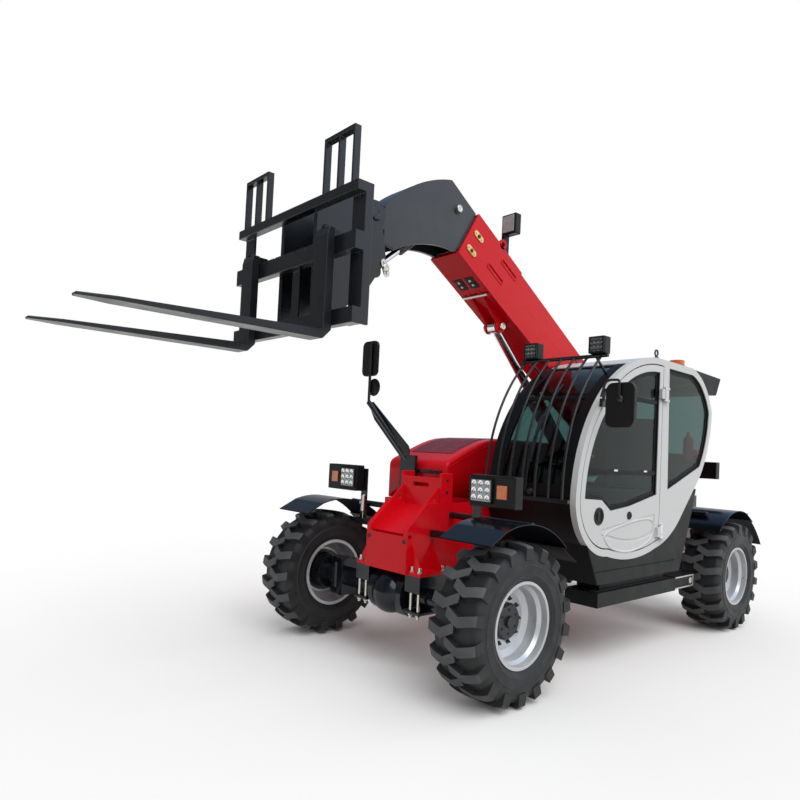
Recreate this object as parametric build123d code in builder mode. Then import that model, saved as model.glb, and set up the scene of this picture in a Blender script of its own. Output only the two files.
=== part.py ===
import os
from math import atan, cos, degrees, hypot, pi, radians, sin, sqrt

from build123d import *

os.makedirs("parts", exist_ok=True)

# Lengths are in millimetres: X forward from the front axle, Y left, Z up from the ground
wheel_base = 2750
track = 1610

# Tyre, rim and hub, measured from the middle of the wheel
tyre_radius = 418
lug_height = 30
lug_rows = 18
lug_width = 50
lug_slant = 8
lug_overlap = 20
lug_shoulder = 403
tread_half_width = 118
tyre_half_width = 152
sidewall_radius = 330
bead_edge_radius = 262
bead_radius = 214
bead_half_width = 126
rim_lip = 10
rim_half_width = 133
barrel_radius = 204
drop_radius = 187
dish_front = 8
dish_thick = 14
hub_radius = 96
hub_face = 42
hub_flange = 140
cap_radius = 32
spindle_radius = 40

# Axles and steering pins
kingpin_inset = 190
kingpin_radius = 18
knuckle_half_height = 86
axle_tube = 62
yoke_half_height = 120
pad_half_length = 110
pad_inner = 165
pad_outer = 290

# Frame: side plates, floor, nose and rear wall
frame_outer = 183
frame_inner = 163
frame_low = 555
floor_thick = 20
nose_front = 127
nose_height = 812
nose_shoulder = -30
frame_top = 967
back_plate = -165
back_plate_top = 1120
cheek_top = 1150
rear_wall = 310
gusset_thick = 12

# Boom, measured along and square to itself from its rear pivot
boom_angle = 31
pivot_behind = 100
pivot_z = 1240
pivot_radius = 35
boom_length = 2896
boom_half_width = 121
boom_low = -190
boom_high = 145
boom_wall = 10
collar_step = 6
collar_low_length = 716
collar_high_length = 558
inner_half_width = 104
inner_low = -170
inner_high = 124
inner_wall = 8
inner_rear = 560
lug_setback = 655
lug_drop = 60
lug_radius = 45
pad_gap = 0.2
pad_half_width = 70
pad_length = 100
neck_gap = 6
running_gap = 0.1

# Lift cylinder
foot_ahead = 650
foot_z = 950
lift_barrel_radius = 60
lift_rod_radius = 32
lift_pin = 25
foot_pin = 30

# Fork head, measured from the tilt pin with the forks level
tilt_u = 630
tilt_v = -520
tilt_pin_radius = 30
tilt_foot_u = 146
tilt_foot_v = 34
eye_behind = 80
eye_drop = 295
hitch_back = 150
bar_back = 421
bar_thick = 50
fork_bottom_drop = 816
fork_thick = 50
fork_length = 1091
fork_width = 110
fork_centre = 360
fork_top_drop = 270
carriage_half_width = 570
notch_step = 100

# Cab
cab_front = -574
cab_radius = 975
cab_low_front = 1017
cab_behind = 340
cab_left = 850
cab_right = 190
cab_skin = 40
pillar_ahead = 810
floor_top = 760
glass_thick = 6
glass_inset = 8
door_gap = 7
hinge_y = 866
hinge_heights = [(1700, 1800), (760, 860)]

# Engine bay and hood on the right
bay_front = -570
bay_ahead = 630
bay_right = -820
bay_left = -205
bay_low = 520
bay_top = 920
bay_wall = 30
hood_top = 1405
hood_hinge_rows = [-350, -680]

# Fenders, lamps and counterweight
fender_radius = 508
fender_thick = 6
fender_inner = 600
fender_outer = 945
fender_reach = 44
flap_start = 19
flap_tip_x = 290
flap_tip_z = 832
tube_radius = 20
tube_behind = 242
tube_end = 790
lamp_back = -100
lamp_front = -30
lamp_inner = 510
lamp_outer = 830
lamp_low = 990
lamp_high = 1165
weight_behind = 590
hitch_behind = 680
tow_pin_radius = 16

half_track = track / 2
kingpin_y = half_track - kingpin_inset
rear_axle_x = -wheel_base
crown_radius = tyre_radius - lug_height
pivot_x = rear_axle_x - pivot_behind
rear_end = rear_axle_x - hitch_behind
weight_rear = rear_axle_x - weight_behind
frame_rear = rear_axle_x - rear_wall
foot_x = rear_axle_x + foot_ahead
bay_rear = rear_axle_x + bay_ahead
cab_rear = rear_axle_x + cab_behind
pillar_x = cab_rear + pillar_ahead
cab_arc_x = cab_front - cab_radius
roof_z = cab_low_front + cab_radius


def from_boom(u, v):
    x = pivot_x + u * cos(radians(boom_angle)) - v * sin(radians(boom_angle))
    z = pivot_z + u * sin(radians(boom_angle)) + v * cos(radians(boom_angle))
    return x, z


def side(y):
    return Plane(origin=(front_x, y, 0), x_dir=(1, 0, 0), z_dir=(0, -1, 0))


def boom_side(y):
    slope = (cos(radians(boom_angle)), 0, sin(radians(boom_angle)))
    return Plane(origin=(front_x + pivot_x, y, pivot_z), x_dir=slope, z_dir=(0, -1, 0))


def block(x, y, z, mode=Mode.ADD):
    with Locations((front_x + (x[0] + x[1]) / 2, (y[0] + y[1]) / 2, (z[0] + z[1]) / 2)):
        Box(abs(x[1] - x[0]), abs(y[1] - y[0]), abs(z[1] - z[0]), mode=mode)


def slab(points, y, place=side, mode=Mode.ADD):
    with BuildSketch(place(max(y))) as outline:
        with BuildLine():
            Polyline(*points, close=True)
        make_face()
    extrude(outline.sketch, amount=abs(y[1] - y[0]), mode=mode)


def disc(centre, radius, y, place=side, mode=Mode.ADD):
    with BuildSketch(place(max(y))) as outline:
        with Locations(centre):
            Circle(radius)
    extrude(outline.sketch, amount=abs(y[1] - y[0]), mode=mode)


def rod(start, end, radius, mode=Mode.ADD):
    base = (front_x + start[0], start[1], start[2])
    way = (end[0] - start[0], end[1] - start[1], end[2] - start[2])
    with BuildSketch(Plane(origin=base, z_dir=way)) as outline:
        Circle(radius)
    extrude(outline.sketch, amount=hypot(*way), mode=mode)


def both(near, far):
    return (near, far), (-far, -near)


def keep(shape, name):
    shape.label = name
    export_step(shape, f"parts/{name}.step")


tilt_pin_x, tilt_pin_z = from_boom(boom_length + tilt_u, tilt_v)
bar_front = tilt_pin_x + bar_back + bar_thick
fork_tip = bar_front + fork_thick + fork_length
front_x = -(rear_end + fork_tip) / 2

# Main frame: two plates, inclined nose deck with lips, back plate, cheeks, floor and pins
lip_thick = 13
lip_top = 1058
deck_front = 775
deck_rear = 955
deck_thick = 22
lip_hole = 15
ear_height = 130
ear_half = 110
boss_radius = 70
slot_half = 70
with BuildPart() as main_frame:
    for near, far in both(frame_inner, frame_outer):
        slab([(nose_front, frame_low), (nose_front, nose_height), (nose_shoulder, frame_top),
              (back_plate - 535, frame_top),
              (foot_x + 600, 900), (foot_x - 150, 900), (pivot_x + 350, 1100), (pivot_x + ear_half,
                                                                                pivot_z + 90),
              (pivot_x, pivot_z + ear_height), (pivot_x - ear_half, pivot_z + 90), (frame_rear, 900),
              (frame_rear, frame_low)], (near, far))
        block((back_plate - 80, back_plate + floor_thick), (near, far), (frame_top - 10, cheek_top))
        disc((foot_x, foot_z), boss_radius, (near, far))
    for near, far in both(frame_inner - lip_thick, frame_inner):
        slab([(nose_front, deck_front - 60), (nose_front, nose_height), (back_plate + 30, lip_top),
              (back_plate, lip_top),
              (back_plate, deck_rear - 60)], (near, far))
    block((nose_front - floor_thick, nose_front), (-frame_inner, frame_inner), (frame_low, deck_front))
    slab([(nose_front - floor_thick, deck_front), (nose_front - floor_thick, deck_front - deck_thick),
          (back_plate, deck_rear - deck_thick), (back_plate, deck_rear)], (-frame_inner, frame_inner))
    block((back_plate, back_plate + floor_thick), (-frame_outer, frame_outer),
          (frame_low + floor_thick, back_plate_top))
    block((frame_rear, nose_front - floor_thick), (-frame_inner, frame_inner),
          (frame_low, frame_low + floor_thick))
    block((frame_rear, frame_rear + floor_thick), (-frame_inner, frame_inner),
          (frame_low + floor_thick, 900))
    for hole_x, hole_z in ((nose_front - 24, nose_height - 42), (back_plate + 57, lip_top - 71)):
        disc((hole_x, hole_z), lip_hole, (-frame_outer - 1, frame_outer + 1), mode=Mode.SUBTRACT)
    block((back_plate - 1, back_plate + floor_thick + 1), (-slot_half, slot_half),
          (back_plate_top - 60, back_plate_top - 35), mode=Mode.SUBTRACT)
    for axle_x in (0, rear_axle_x):
        for near, far in both(frame_outer, pad_outer):
            block((axle_x - pad_half_length, axle_x + pad_half_length), (near, far),
                  (frame_low, frame_low + floor_thick))
    for hand in (1, -1):
        for gusset_x in (-pad_half_length + 20, pad_half_length - 20 - gusset_thick):
            with BuildSketch(Plane(origin=(front_x + gusset_x, 0, 0), x_dir=(0, hand, 0),
                                   z_dir=(hand, 0, 0))) as gusset:
                with BuildLine():
                    Polyline((frame_outer, frame_low + 190), (frame_outer, frame_low + floor_thick),
                             (pad_outer - 15, frame_low + floor_thick), (pad_outer - 15, frame_low + 40),
                             close=True)
                make_face()
            extrude(gusset.sketch, amount=hand * gusset_thick)
    disc((pivot_x, pivot_z), pivot_radius, (-frame_outer - 22, frame_outer + 22))
    for near, far in both(60, frame_inner):
        disc((foot_x, foot_z), foot_pin, (near, far))
keep(main_frame.part, "main_frame")

# Axles: housing, differential ball, yokes for the knuckles and the clamp pads under the frame
yoke_root = 60
yoke_ear = 30
for axle_name, axle_x, cover in (("front_axle", 0, 1), ("rear_axle", rear_axle_x, -1)):
    with BuildPart() as axle:
        rod((axle_x, -kingpin_y + 80, tyre_radius), (axle_x, kingpin_y - 80, tyre_radius), axle_tube)
        rod((axle_x, -150, tyre_radius), (axle_x, 150, tyre_radius), 130)
        with Locations((front_x + axle_x + cover * 60, 0, tyre_radius)):
            Sphere(125)
        for hand in (1, -1):
            block((axle_x - axle_tube, axle_x + axle_tube),
                  (hand * (kingpin_y - 2 * yoke_root), hand * (kingpin_y - yoke_root)),
                  (tyre_radius - yoke_half_height, tyre_radius + yoke_half_height))
            for low in (-yoke_half_height, yoke_half_height - yoke_ear):
                block((axle_x - 55, axle_x + 55), (hand * (kingpin_y - yoke_root), hand * kingpin_y),
                      (tyre_radius + low, tyre_radius + low + yoke_ear))
                rod((axle_x, hand * kingpin_y, tyre_radius + low),
                    (axle_x, hand * kingpin_y, tyre_radius + low + yoke_ear), 55)
            for pin_low in (-yoke_half_height + yoke_ear - 2, yoke_half_height - yoke_ear - 30):
                rod((axle_x, hand * kingpin_y, tyre_radius + pin_low),
                    (axle_x, hand * kingpin_y, tyre_radius + pin_low + 32),
                    kingpin_radius)
            block((axle_x - pad_half_length, axle_x + pad_half_length),
                  (hand * pad_inner, hand * pad_outer),
                  (tyre_radius + 40, frame_low))
    keep(axle.part, axle_name)

# Tyre: faceted carcass with two rows of slanted lugs that fall to the shoulder, made once about the Y axis
facets = 2 * lug_rows
shoulder_taper = degrees(atan((crown_radius - sidewall_radius) / (tyre_half_width - tread_half_width)))
recess_depth = tyre_half_width - bead_half_width
recess_taper = degrees(atan((bead_edge_radius - bead_radius - rim_lip) / recess_depth))
lug_foot = sidewall_radius - 6
lug_reach = tyre_half_width - 4 + lug_overlap
lug_length = hypot(lug_reach, lug_slant)
lug_lean, lug_along = lug_slant / lug_length, lug_reach / lug_length
facet_turn = 180 / facets
with BuildPart() as tyre_shape:
    with BuildSketch(Plane.XZ.offset(-tread_half_width)) as crown:
        RegularPolygon(crown_radius, facets, rotation=facet_turn)
    extrude(crown.sketch, amount=2 * tread_half_width)
    for hand in (1, -1):
        with BuildSketch(Plane(origin=(0, hand * tread_half_width, 0), x_dir=(1, 0, 0),
                               z_dir=(0, hand, 0))) as shoulder:
            RegularPolygon(crown_radius, facets, rotation=facet_turn)
        extrude(shoulder.sketch, amount=tyre_half_width - tread_half_width, taper=shoulder_taper)
    for row in range(facets):
        turn = 2 * pi * row / facets
        hand = 1 if row % 2 else -1
        along_lug = (lug_lean * sin(turn), hand * lug_along, -lug_lean * cos(turn))
        across_lug = (hand * lug_along * sin(turn), -lug_lean, -hand * lug_along * cos(turn))
        with BuildSketch(Plane(origin=(-lug_slant * sin(turn), -hand * lug_overlap, lug_slant * cos(turn)),
                               x_dir=along_lug, z_dir=across_lug)) as lug:
            with BuildLine():
                Polyline((0, lug_foot), (0, tyre_radius), (lug_length, lug_shoulder), (lug_length, lug_foot),
                         close=True)
            make_face()
        extrude(lug.sketch, amount=lug_width / 2, both=True)
    for hand in (1, -1):
        with BuildSketch(Plane(origin=(0, hand * tyre_half_width, 0), x_dir=(1, 0, 0),
                               z_dir=(0, -hand, 0))) as recess:
            RegularPolygon(bead_edge_radius, facets, major_radius=False, rotation=facet_turn)
        extrude(recess.sketch, amount=recess_depth, taper=recess_taper, mode=Mode.SUBTRACT)
    with BuildSketch(Plane.XZ.offset(-tyre_half_width)) as bore:
        RegularPolygon(bead_radius, facets, major_radius=False, rotation=facet_turn)
    extrude(bore.sketch, amount=2 * tyre_half_width, mode=Mode.SUBTRACT)
with BuildPart() as tyre_mirrored:
    add(tyre_shape.part)
    mirror(about=Plane.XZ, mode=Mode.REPLACE)

# Wheels: knuckle, hub, rim and tyre at the four corners
corners = [("fl", 0, 1), ("fr", 0, -1), ("rl", rear_axle_x, 1), ("rr", rear_axle_x, -1)]
for corner, wheel_x, hand in corners:
    centre = (front_x + wheel_x, hand * half_track, tyre_radius)
    section = Plane(origin=centre, x_dir=(0, 0, 1), z_dir=(-hand, 0, 0))
    spin = Axis(centre, (0, hand, 0))
    pin_y = hand * kingpin_y

    with BuildPart() as knuckle:
        rod((wheel_x, pin_y, tyre_radius - knuckle_half_height),
            (wheel_x, pin_y, tyre_radius + knuckle_half_height), 50)
        for start, end, radius in ((kingpin_inset, 60, 70), (112, 60, 110), (61, 20, spindle_radius)):
            rod((wheel_x, hand * (half_track - start), tyre_radius),
                (wheel_x, hand * (half_track - end), tyre_radius), radius)
        for bore_low in (-knuckle_half_height - 1, knuckle_half_height - 30):
            rod((wheel_x, pin_y, tyre_radius + bore_low), (wheel_x, pin_y, tyre_radius + bore_low + 31),
                kingpin_radius + running_gap, mode=Mode.SUBTRACT)
    keep(knuckle.part, f"knuckle_{corner}")

    with BuildPart() as tyre:
        with Locations(centre):
            add(tyre_shape.part if hand == 1 else tyre_mirrored.part)
    keep(tyre.part, f"tyre_{corner}")

    with BuildPart() as rim:
        with BuildSketch(section):
            with BuildLine():
                Polyline((bead_radius, -bead_half_width), (bead_radius, bead_half_width),
                         (bead_radius + rim_lip, bead_half_width), (bead_radius + rim_lip, rim_half_width),
                         (barrel_radius + 4, rim_half_width), (barrel_radius, 98), (drop_radius,
                                                                                    80),
                                                                                    (drop_radius - 2, 26),
                         (drop_radius - 36, dish_front), (hub_radius, dish_front), (hub_radius,
                                                                                    dish_front - dish_thick),
                         (drop_radius - 32, dish_front - dish_thick), (drop_radius + 8, 14), (barrel_radius,
                                                                                              0),
                         (barrel_radius, -rim_half_width), (bead_radius + rim_lip, -rim_half_width),
                         (bead_radius + rim_lip, -bead_half_width), close=True)
            make_face()
        revolve(axis=spin)
    keep(rim.part, f"rim_{corner}")

    with BuildPart() as hub:
        with BuildSketch(section):
            with BuildLine():
                Polyline((0, -18), (spindle_radius + running_gap, -18), (spindle_radius + running_gap, -54),
                         (120, -54),
                         (120, dish_front - dish_thick - 16), (hub_flange, dish_front - dish_thick - 16),
                         (hub_flange, dish_front - dish_thick), (hub_radius, dish_front - dish_thick),
                         (hub_radius, hub_face - 12), (hub_radius - 12, hub_face), (cap_radius, hub_face),
                         (cap_radius - 4, hub_face + 14), (0, hub_face + 14), close=True)
            make_face()
        revolve(axis=spin)
    keep(hub.part, f"hub_{corner}")

# Fenders with a flap at the outer end of the machine, and the tubes that carry them
outer_radius = fender_radius + fender_thick
tube_z = tyre_radius + sqrt((outer_radius + tube_radius) ** 2 - tube_behind ** 2)


def arch_point(wheel_x, way, radius, angle):
    return wheel_x + way * radius * sin(radians(angle)), tyre_radius + radius * cos(radians(angle))


with BuildPart() as fenders:
    for corner, wheel_x, hand in corners:
        way = 1 if wheel_x == 0 else -1
        with BuildSketch(side(max(hand * fender_inner, hand * fender_outer))) as arch:
            with BuildLine():
                under = [arch_point(wheel_x, way, fender_radius, angle) for angle in (flap_start, 0,
                                                                                      -fender_reach)]
                over = [arch_point(wheel_x, way, outer_radius, angle) for angle in (-fender_reach, 0,
                                                                                    flap_start)]
                tip = (wheel_x + way * flap_tip_x, flap_tip_z)
                ThreePointArc(*under)
                Line(under[2], over[0])
                ThreePointArc(*over)
                Polyline(over[2], (tip[0] + way * fender_thick / 2, tip[1] + fender_thick), tip, under[0])
            make_face()
        extrude(arch.sketch, amount=fender_outer - fender_inner)
keep(fenders.part, "fenders")

with BuildPart() as fender_tubes:
    for corner, wheel_x, hand in corners:
        tube_x = wheel_x - (tube_behind if wheel_x == 0 else -tube_behind)
        rod((tube_x, hand * frame_outer, tube_z), (tube_x, hand * tube_end, tube_z), tube_radius)
keep(fender_tubes.part, "fender_tubes")

# Cab outline seen from the left, then its door, windows and strips cut from it
rear_crest = (cab_rear + 349, roof_z - 7)
rear_bulge = (cab_rear, 1682)
rear_waist = (cab_rear + 176, 1195)
rear_foot = (cab_rear + 502, 875)
bottom_rear = (cab_rear + 850, 700)
bottom_front = (cab_front - 366, 688)
bottom_z = 652
with BuildSketch() as cab_shape:
    with BuildLine():
        ThreePointArc((cab_front, cab_low_front),
                      (cab_arc_x + cab_radius * cos(pi / 4), cab_low_front + cab_radius * sin(pi / 4)),
                      (cab_arc_x, roof_z))
        Line((cab_arc_x, roof_z), rear_crest)
        ThreePointArc(rear_crest, (cab_rear + 118, 1864), rear_bulge)
        ThreePointArc(rear_bulge, (cab_rear + 46, 1428), rear_waist)
        Line(rear_waist, rear_foot)
        ThreePointArc(rear_foot, (cab_rear + 660, 765), bottom_rear)
        ThreePointArc(bottom_rear, ((bottom_rear[0] + bottom_front[0]) / 2, bottom_z), bottom_front)
        ThreePointArc(bottom_front, (cab_front - 90, 812), (cab_front, cab_low_front))
    make_face()

sill_low = 1035
sill_rear = 1062
with BuildSketch() as door_shape:
    add(cab_shape.sketch)
    offset(amount=-50, kind=Kind.INTERSECTION, mode=Mode.REPLACE)
    with Locations((pillar_x + 1000, 1300)):
        Rectangle(2000, 2000, mode=Mode.INTERSECT)
with BuildSketch() as door_hole:
    add(door_shape.sketch)
    offset(amount=door_gap, kind=Kind.INTERSECTION, mode=Mode.REPLACE)
with BuildSketch() as door_window:
    add(door_shape.sketch)
    offset(amount=-45, kind=Kind.INTERSECTION, mode=Mode.REPLACE)
    with BuildLine():
        Polyline((cab_front, 2500), (pillar_x - 200, 2500), (pillar_x - 200, sill_rear),
                 (pillar_x + 45, sill_rear),
                 (pillar_x + 400, sill_rear - 70), (cab_front - 390, sill_rear - 95), (cab_front - 285,
                                                                                       sill_low),
                 (cab_front, sill_low + 15), close=True)
    make_face(mode=Mode.INTERSECT)
with BuildSketch() as quarter_window:
    add(cab_shape.sketch)
    offset(amount=-50, kind=Kind.INTERSECTION, mode=Mode.REPLACE)
    with BuildLine():
        Polyline((pillar_x - 70, 2500), (pillar_x - 1500, 2500), (pillar_x - 1500, 1560),
                 (pillar_x - 114, 1093), close=True)
    make_face(mode=Mode.INTERSECT)
with BuildSketch() as inner_window:
    add(cab_shape.sketch)
    offset(amount=-90, kind=Kind.INTERSECTION, mode=Mode.REPLACE)
    with Locations((pillar_x, 1080 + 1000)):
        Rectangle(4000, 2000, mode=Mode.INTERSECT)


def panel(shape, y, mode=Mode.ADD):
    with BuildSketch(side(max(y))) as outline:
        add(shape.sketch)
    extrude(outline.sketch, amount=abs(y[1] - y[0]), mode=mode)


def strip(inset, thick, region):
    with BuildSketch(side(cab_left - cab_skin)) as ring:
        add(cab_shape.sketch)
        if inset:
            offset(amount=-inset, kind=Kind.INTERSECTION, mode=Mode.REPLACE)
        offset(amount=-thick, kind=Kind.INTERSECTION, mode=Mode.SUBTRACT)
        with BuildLine():
            Polyline(*region, close=True)
        make_face(mode=Mode.INTERSECT)
    extrude(ring.sketch, amount=cab_left - cab_right - 2 * cab_skin)


# Cab left side with its door hole, quarter window and hinge pins
hinge_x = pillar_x - 3
hinge_pin = 8
leaf_out = 22
leaf_thick = 15
with BuildPart() as cab_side:
    panel(cab_shape, (cab_left - cab_skin, cab_left))
    panel(door_hole, (cab_left - cab_skin - 1, cab_left + 1), mode=Mode.SUBTRACT)
    panel(quarter_window, (cab_left - cab_skin - 1, cab_left + 1), mode=Mode.SUBTRACT)
    for low, high in hinge_heights:
        rod((hinge_x, hinge_y, low), (hinge_x, hinge_y, high), hinge_pin)
        for leaf_low in (low, high - leaf_thick):
            block((hinge_x - 57, hinge_x), (cab_left, cab_left + leaf_out),
                  (leaf_low, leaf_low + leaf_thick))
keep(cab_side.part, "cab_side_left")

# Door: panel with window, pressed groove, grip recess and hinge leaves
door_thick = 35
groove_width = 16
groove_depth = 4
grip_place = (cab_front - 252, 939)
grip_radius = 42
with BuildSketch() as door_groove:
    add(door_shape.sketch)
    offset(amount=-62, kind=Kind.INTERSECTION, mode=Mode.REPLACE)
    with BuildLine():
        Polyline((cab_front, 500), (cab_front - 250, 800), (cab_front - 300, 856), (pillar_x, 940),
                 (pillar_x, 500), close=True)
    make_face(mode=Mode.INTERSECT)
    offset(amount=-groove_width, kind=Kind.INTERSECTION, mode=Mode.SUBTRACT)
with BuildPart() as door_panel:
    panel(door_shape, (cab_left - door_thick, cab_left))
    panel(door_window, (cab_left - door_thick - 1, cab_left + 1), mode=Mode.SUBTRACT)
    panel(door_groove, (cab_left - groove_depth, cab_left + 1), mode=Mode.SUBTRACT)
    disc(grip_place, grip_radius, (cab_left - 12, cab_left + 1), mode=Mode.SUBTRACT)
    for low, high in hinge_heights:
        block((hinge_x, hinge_x + 55), (cab_left, cab_left + leaf_out),
              (low + leaf_thick + 2, high - leaf_thick - 2))
        rod((hinge_x, hinge_y, low + leaf_thick + 2), (hinge_x, hinge_y, high - leaf_thick - 2), 14)
        rod((hinge_x, hinge_y, low), (hinge_x, hinge_y, high), hinge_pin + running_gap, mode=Mode.SUBTRACT)
keep(door_panel.part, "door_panel")

# Cab glass set into the panels
glass_setback = 25
with BuildPart() as door_glass:
    panel(door_window, (cab_left - glass_setback, cab_left - glass_setback + glass_thick))
keep(door_glass.part, "door_glass")

with BuildPart() as quarter_glass:
    panel(quarter_window, (cab_left - glass_setback, cab_left - glass_setback + glass_thick))
keep(quarter_glass.part, "quarter_glass")

with BuildPart() as cab_inner:
    panel(cab_shape, (cab_right, cab_right + cab_skin))
    panel(inner_window, (cab_right - 1, cab_right + cab_skin + 1), mode=Mode.SUBTRACT)
keep(cab_inner.part, "cab_side_right")

with BuildPart() as side_glass:
    panel(inner_window, (cab_right + 15, cab_right + 15 + glass_thick))
keep(side_glass.part, "side_glass")

# Cab strips between the two sides: windscreen, roof, rear glass, floor
roof_front = cab_front - 606
roof_rear = cab_rear + 180
above = roof_z + 200
shell_thick = 35
with BuildPart() as windscreen:
    strip(glass_inset, glass_thick, [(cab_front + 200, 1040), (cab_front + 200, above), (roof_front, above),
                                     (roof_front, 1700), (cab_front - 326, 1040)])
keep(windscreen.part, "windscreen")

with BuildPart() as cab_roof:
    strip(0, shell_thick, [(roof_front, above), (roof_rear, above), (roof_rear, 1700), (roof_front, 1700)])
keep(cab_roof.part, "cab_roof")

with BuildPart() as rear_glass:
    strip(glass_inset, glass_thick, [(roof_rear, above), (cab_rear - 90, above), (cab_rear - 90, 1360),
                                     (cab_rear + 310, 1360), (roof_rear, 1700)])
keep(rear_glass.part, "rear_glass")

with BuildPart() as cab_floor:
    strip(0, shell_thick, [(cab_front + 200, 1040), (cab_front - 326, 1040), (cab_front - 326, 900),
                           (cab_rear + 710, 900),
                           (cab_rear + 310, 1360), (cab_rear - 90, 1360), (cab_rear - 90, 600),
                           (cab_front + 200, 600)])
    block((cab_rear + 720, cab_front - 182), (cab_right + cab_skin, cab_left - cab_skin),
          (floor_top - 20, floor_top))
keep(cab_floor.part, "cab_floor")

# Visor over the rear glass, seated on the outline
with BuildPart() as roof_visor:
    with BuildSketch(side(cab_left - cab_skin)) as wedge:
        with BuildLine():
            Polyline((cab_rear + 260, roof_z + 3), (cab_rear - 250, roof_z - 16), (cab_rear - 172, 1835),
                     (cab_rear + 60, 1828),
                     (cab_rear + 260, 1900), close=True)
        make_face()
        add(cab_shape.sketch, mode=Mode.SUBTRACT)
    extrude(wedge.sketch, amount=cab_left - cab_right - 2 * cab_skin)
keep(roof_visor.part, "roof_visor")

# Windscreen guard: bent bars between a top and a foot bar, with stays to the cab
guard_rows = 7
guard_first = 235
guard_last = 805
guard_top = (cab_front - 296, 1925)
guard_mid = (cab_front - 20, 1540)
guard_foot = (cab_front + 74, 1029)
guard_bar = 8
guard_rail = 12
stay_reach = 0.56
stay_x = cab_arc_x + (cab_radius + 2) * stay_reach
stay_z = cab_low_front + (cab_radius + 2) * sqrt(1 - stay_reach ** 2)
with BuildPart() as guard:
    for row in range(guard_rows):
        guard_y = guard_first + row * (guard_last - guard_first) / (guard_rows - 1)
        with BuildLine() as bend:
            ThreePointArc((front_x + guard_top[0], guard_y, guard_top[1]),
                          (front_x + guard_mid[0], guard_y, guard_mid[1]),
                          (front_x + guard_foot[0], guard_y, guard_foot[1]))
        with BuildSketch(Plane(origin=bend.line @ 0, z_dir=bend.line % 0)) as bar:
            Circle(guard_bar)
        sweep(bar.sketch, path=bend.line)
    for rail_x, rail_z in (guard_top, guard_foot):
        rod((rail_x, guard_first - 35, rail_z), (rail_x, guard_last + 45, rail_z), guard_rail)
    for stay_y in (guard_first + 40, guard_last - 40):
        rod((guard_top[0], stay_y, guard_top[1]), (stay_x, stay_y, stay_z), guard_bar)
        rod((guard_foot[0], stay_y, guard_foot[1]), (cab_front, stay_y, guard_foot[1]), 10)
keep(guard.part, "windscreen_guard")

# Cab fittings
seat_y = (cab_left + cab_right) / 2
seat_front = pillar_x + 250
with BuildPart() as seat:
    block((seat_front - 500, seat_front), (seat_y - 220, seat_y + 220), (floor_top + 200, floor_top + 320))
    slab([(seat_front - 500, floor_top + 320), (seat_front - 390, floor_top + 320),
          (seat_front - 510, floor_top + 860),
          (seat_front - 620, floor_top + 860)], (seat_y - 210, seat_y + 210))
    block((seat_front - 270, seat_front - 70), (seat_y - 140, seat_y + 140), (floor_top, floor_top + 200))
keep(seat.part, "seat")

column_x = cab_front - 326
with BuildPart() as steering_column:
    rod((column_x, seat_y, floor_top + 8), (column_x - 100, seat_y, floor_top + 450), 35)
    block((column_x - 50, column_x + 50), (seat_y - 50, seat_y + 50), (floor_top, floor_top + 20))
    with Locations(Plane(origin=(front_x + column_x - 102, seat_y, floor_top + 455),
                         z_dir=(-0.2, 0, 0.98))):
        Torus(180, 14)
        Box(350, 30, 16)
keep(steering_column.part, "steering_column")

# Lower left body with seams and step
seam_gap = 6
seam_depth = 5
step_low = 380
step_top = 470
step_rear = rear_axle_x + 865
with BuildPart() as lower_body:
    with BuildSketch(side(cab_left)) as flank:
        with BuildLine():
            Polyline((cab_front - 120, 800), (cab_front - 120, 900), (rear_foot[0] - 60, 1000),
                     (rear_waist[0] + 60, 1100),
                     (rear_axle_x + 621, 963), (rear_axle_x + 815, 518), (cab_front - 266, 520), close=True)
        make_face()
        add(cab_shape.sketch, mode=Mode.SUBTRACT)
    extrude(flank.sketch, amount=cab_left - frame_outer)
    block((step_rear, cab_front - 276), (cab_left - 230, cab_left), (step_low, step_top))
    block((step_rear + 85, cab_front - 376), (cab_left - 210, cab_left - 50), (step_top, step_top + 90))
    block((rear_axle_x + 900, cab_front - 100), (cab_left - seam_depth, cab_left + 1),
          (603 - seam_gap, 603), mode=Mode.SUBTRACT)
keep(lower_body.part, "lower_body")

# Engine bay on the right with its plain engine block
hinge_back = bay_rear - 18
hinge_up = bay_top + 2
with BuildPart() as engine_bay:
    block((bay_rear, bay_front), (bay_right, -frame_outer), (bay_low, bay_low + 20))
    block((bay_rear, bay_front), (bay_right, bay_right + bay_wall), (bay_low + 20, bay_top))
    block((bay_front - bay_wall, bay_front), (bay_right + bay_wall, -frame_outer), (bay_low + 20, bay_top))
    block((bay_rear, bay_rear + bay_wall), (bay_right + bay_wall, -frame_outer), (bay_low + 20, bay_top))
    for row in hood_hinge_rows:
        rod((hinge_back, row - 45, hinge_up), (hinge_back, row + 45, hinge_up), hinge_pin)
        for ear in (row - 45, row + 30):
            block((bay_rear - 30, bay_rear - 6), (ear, ear + 15), (bay_top - 60, bay_top + 12))
            block((bay_rear - 6, bay_rear + 2), (ear, ear + 15), (bay_top - 60, bay_top - 5))
keep(engine_bay.part, "engine_bay")

with BuildPart() as engine:
    block((bay_rear + 270, bay_front - 330), (bay_right + 140, bay_left - 95),
          (bay_low + 20, bay_top + 260))
keep(engine.part, "engine_block")

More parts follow.
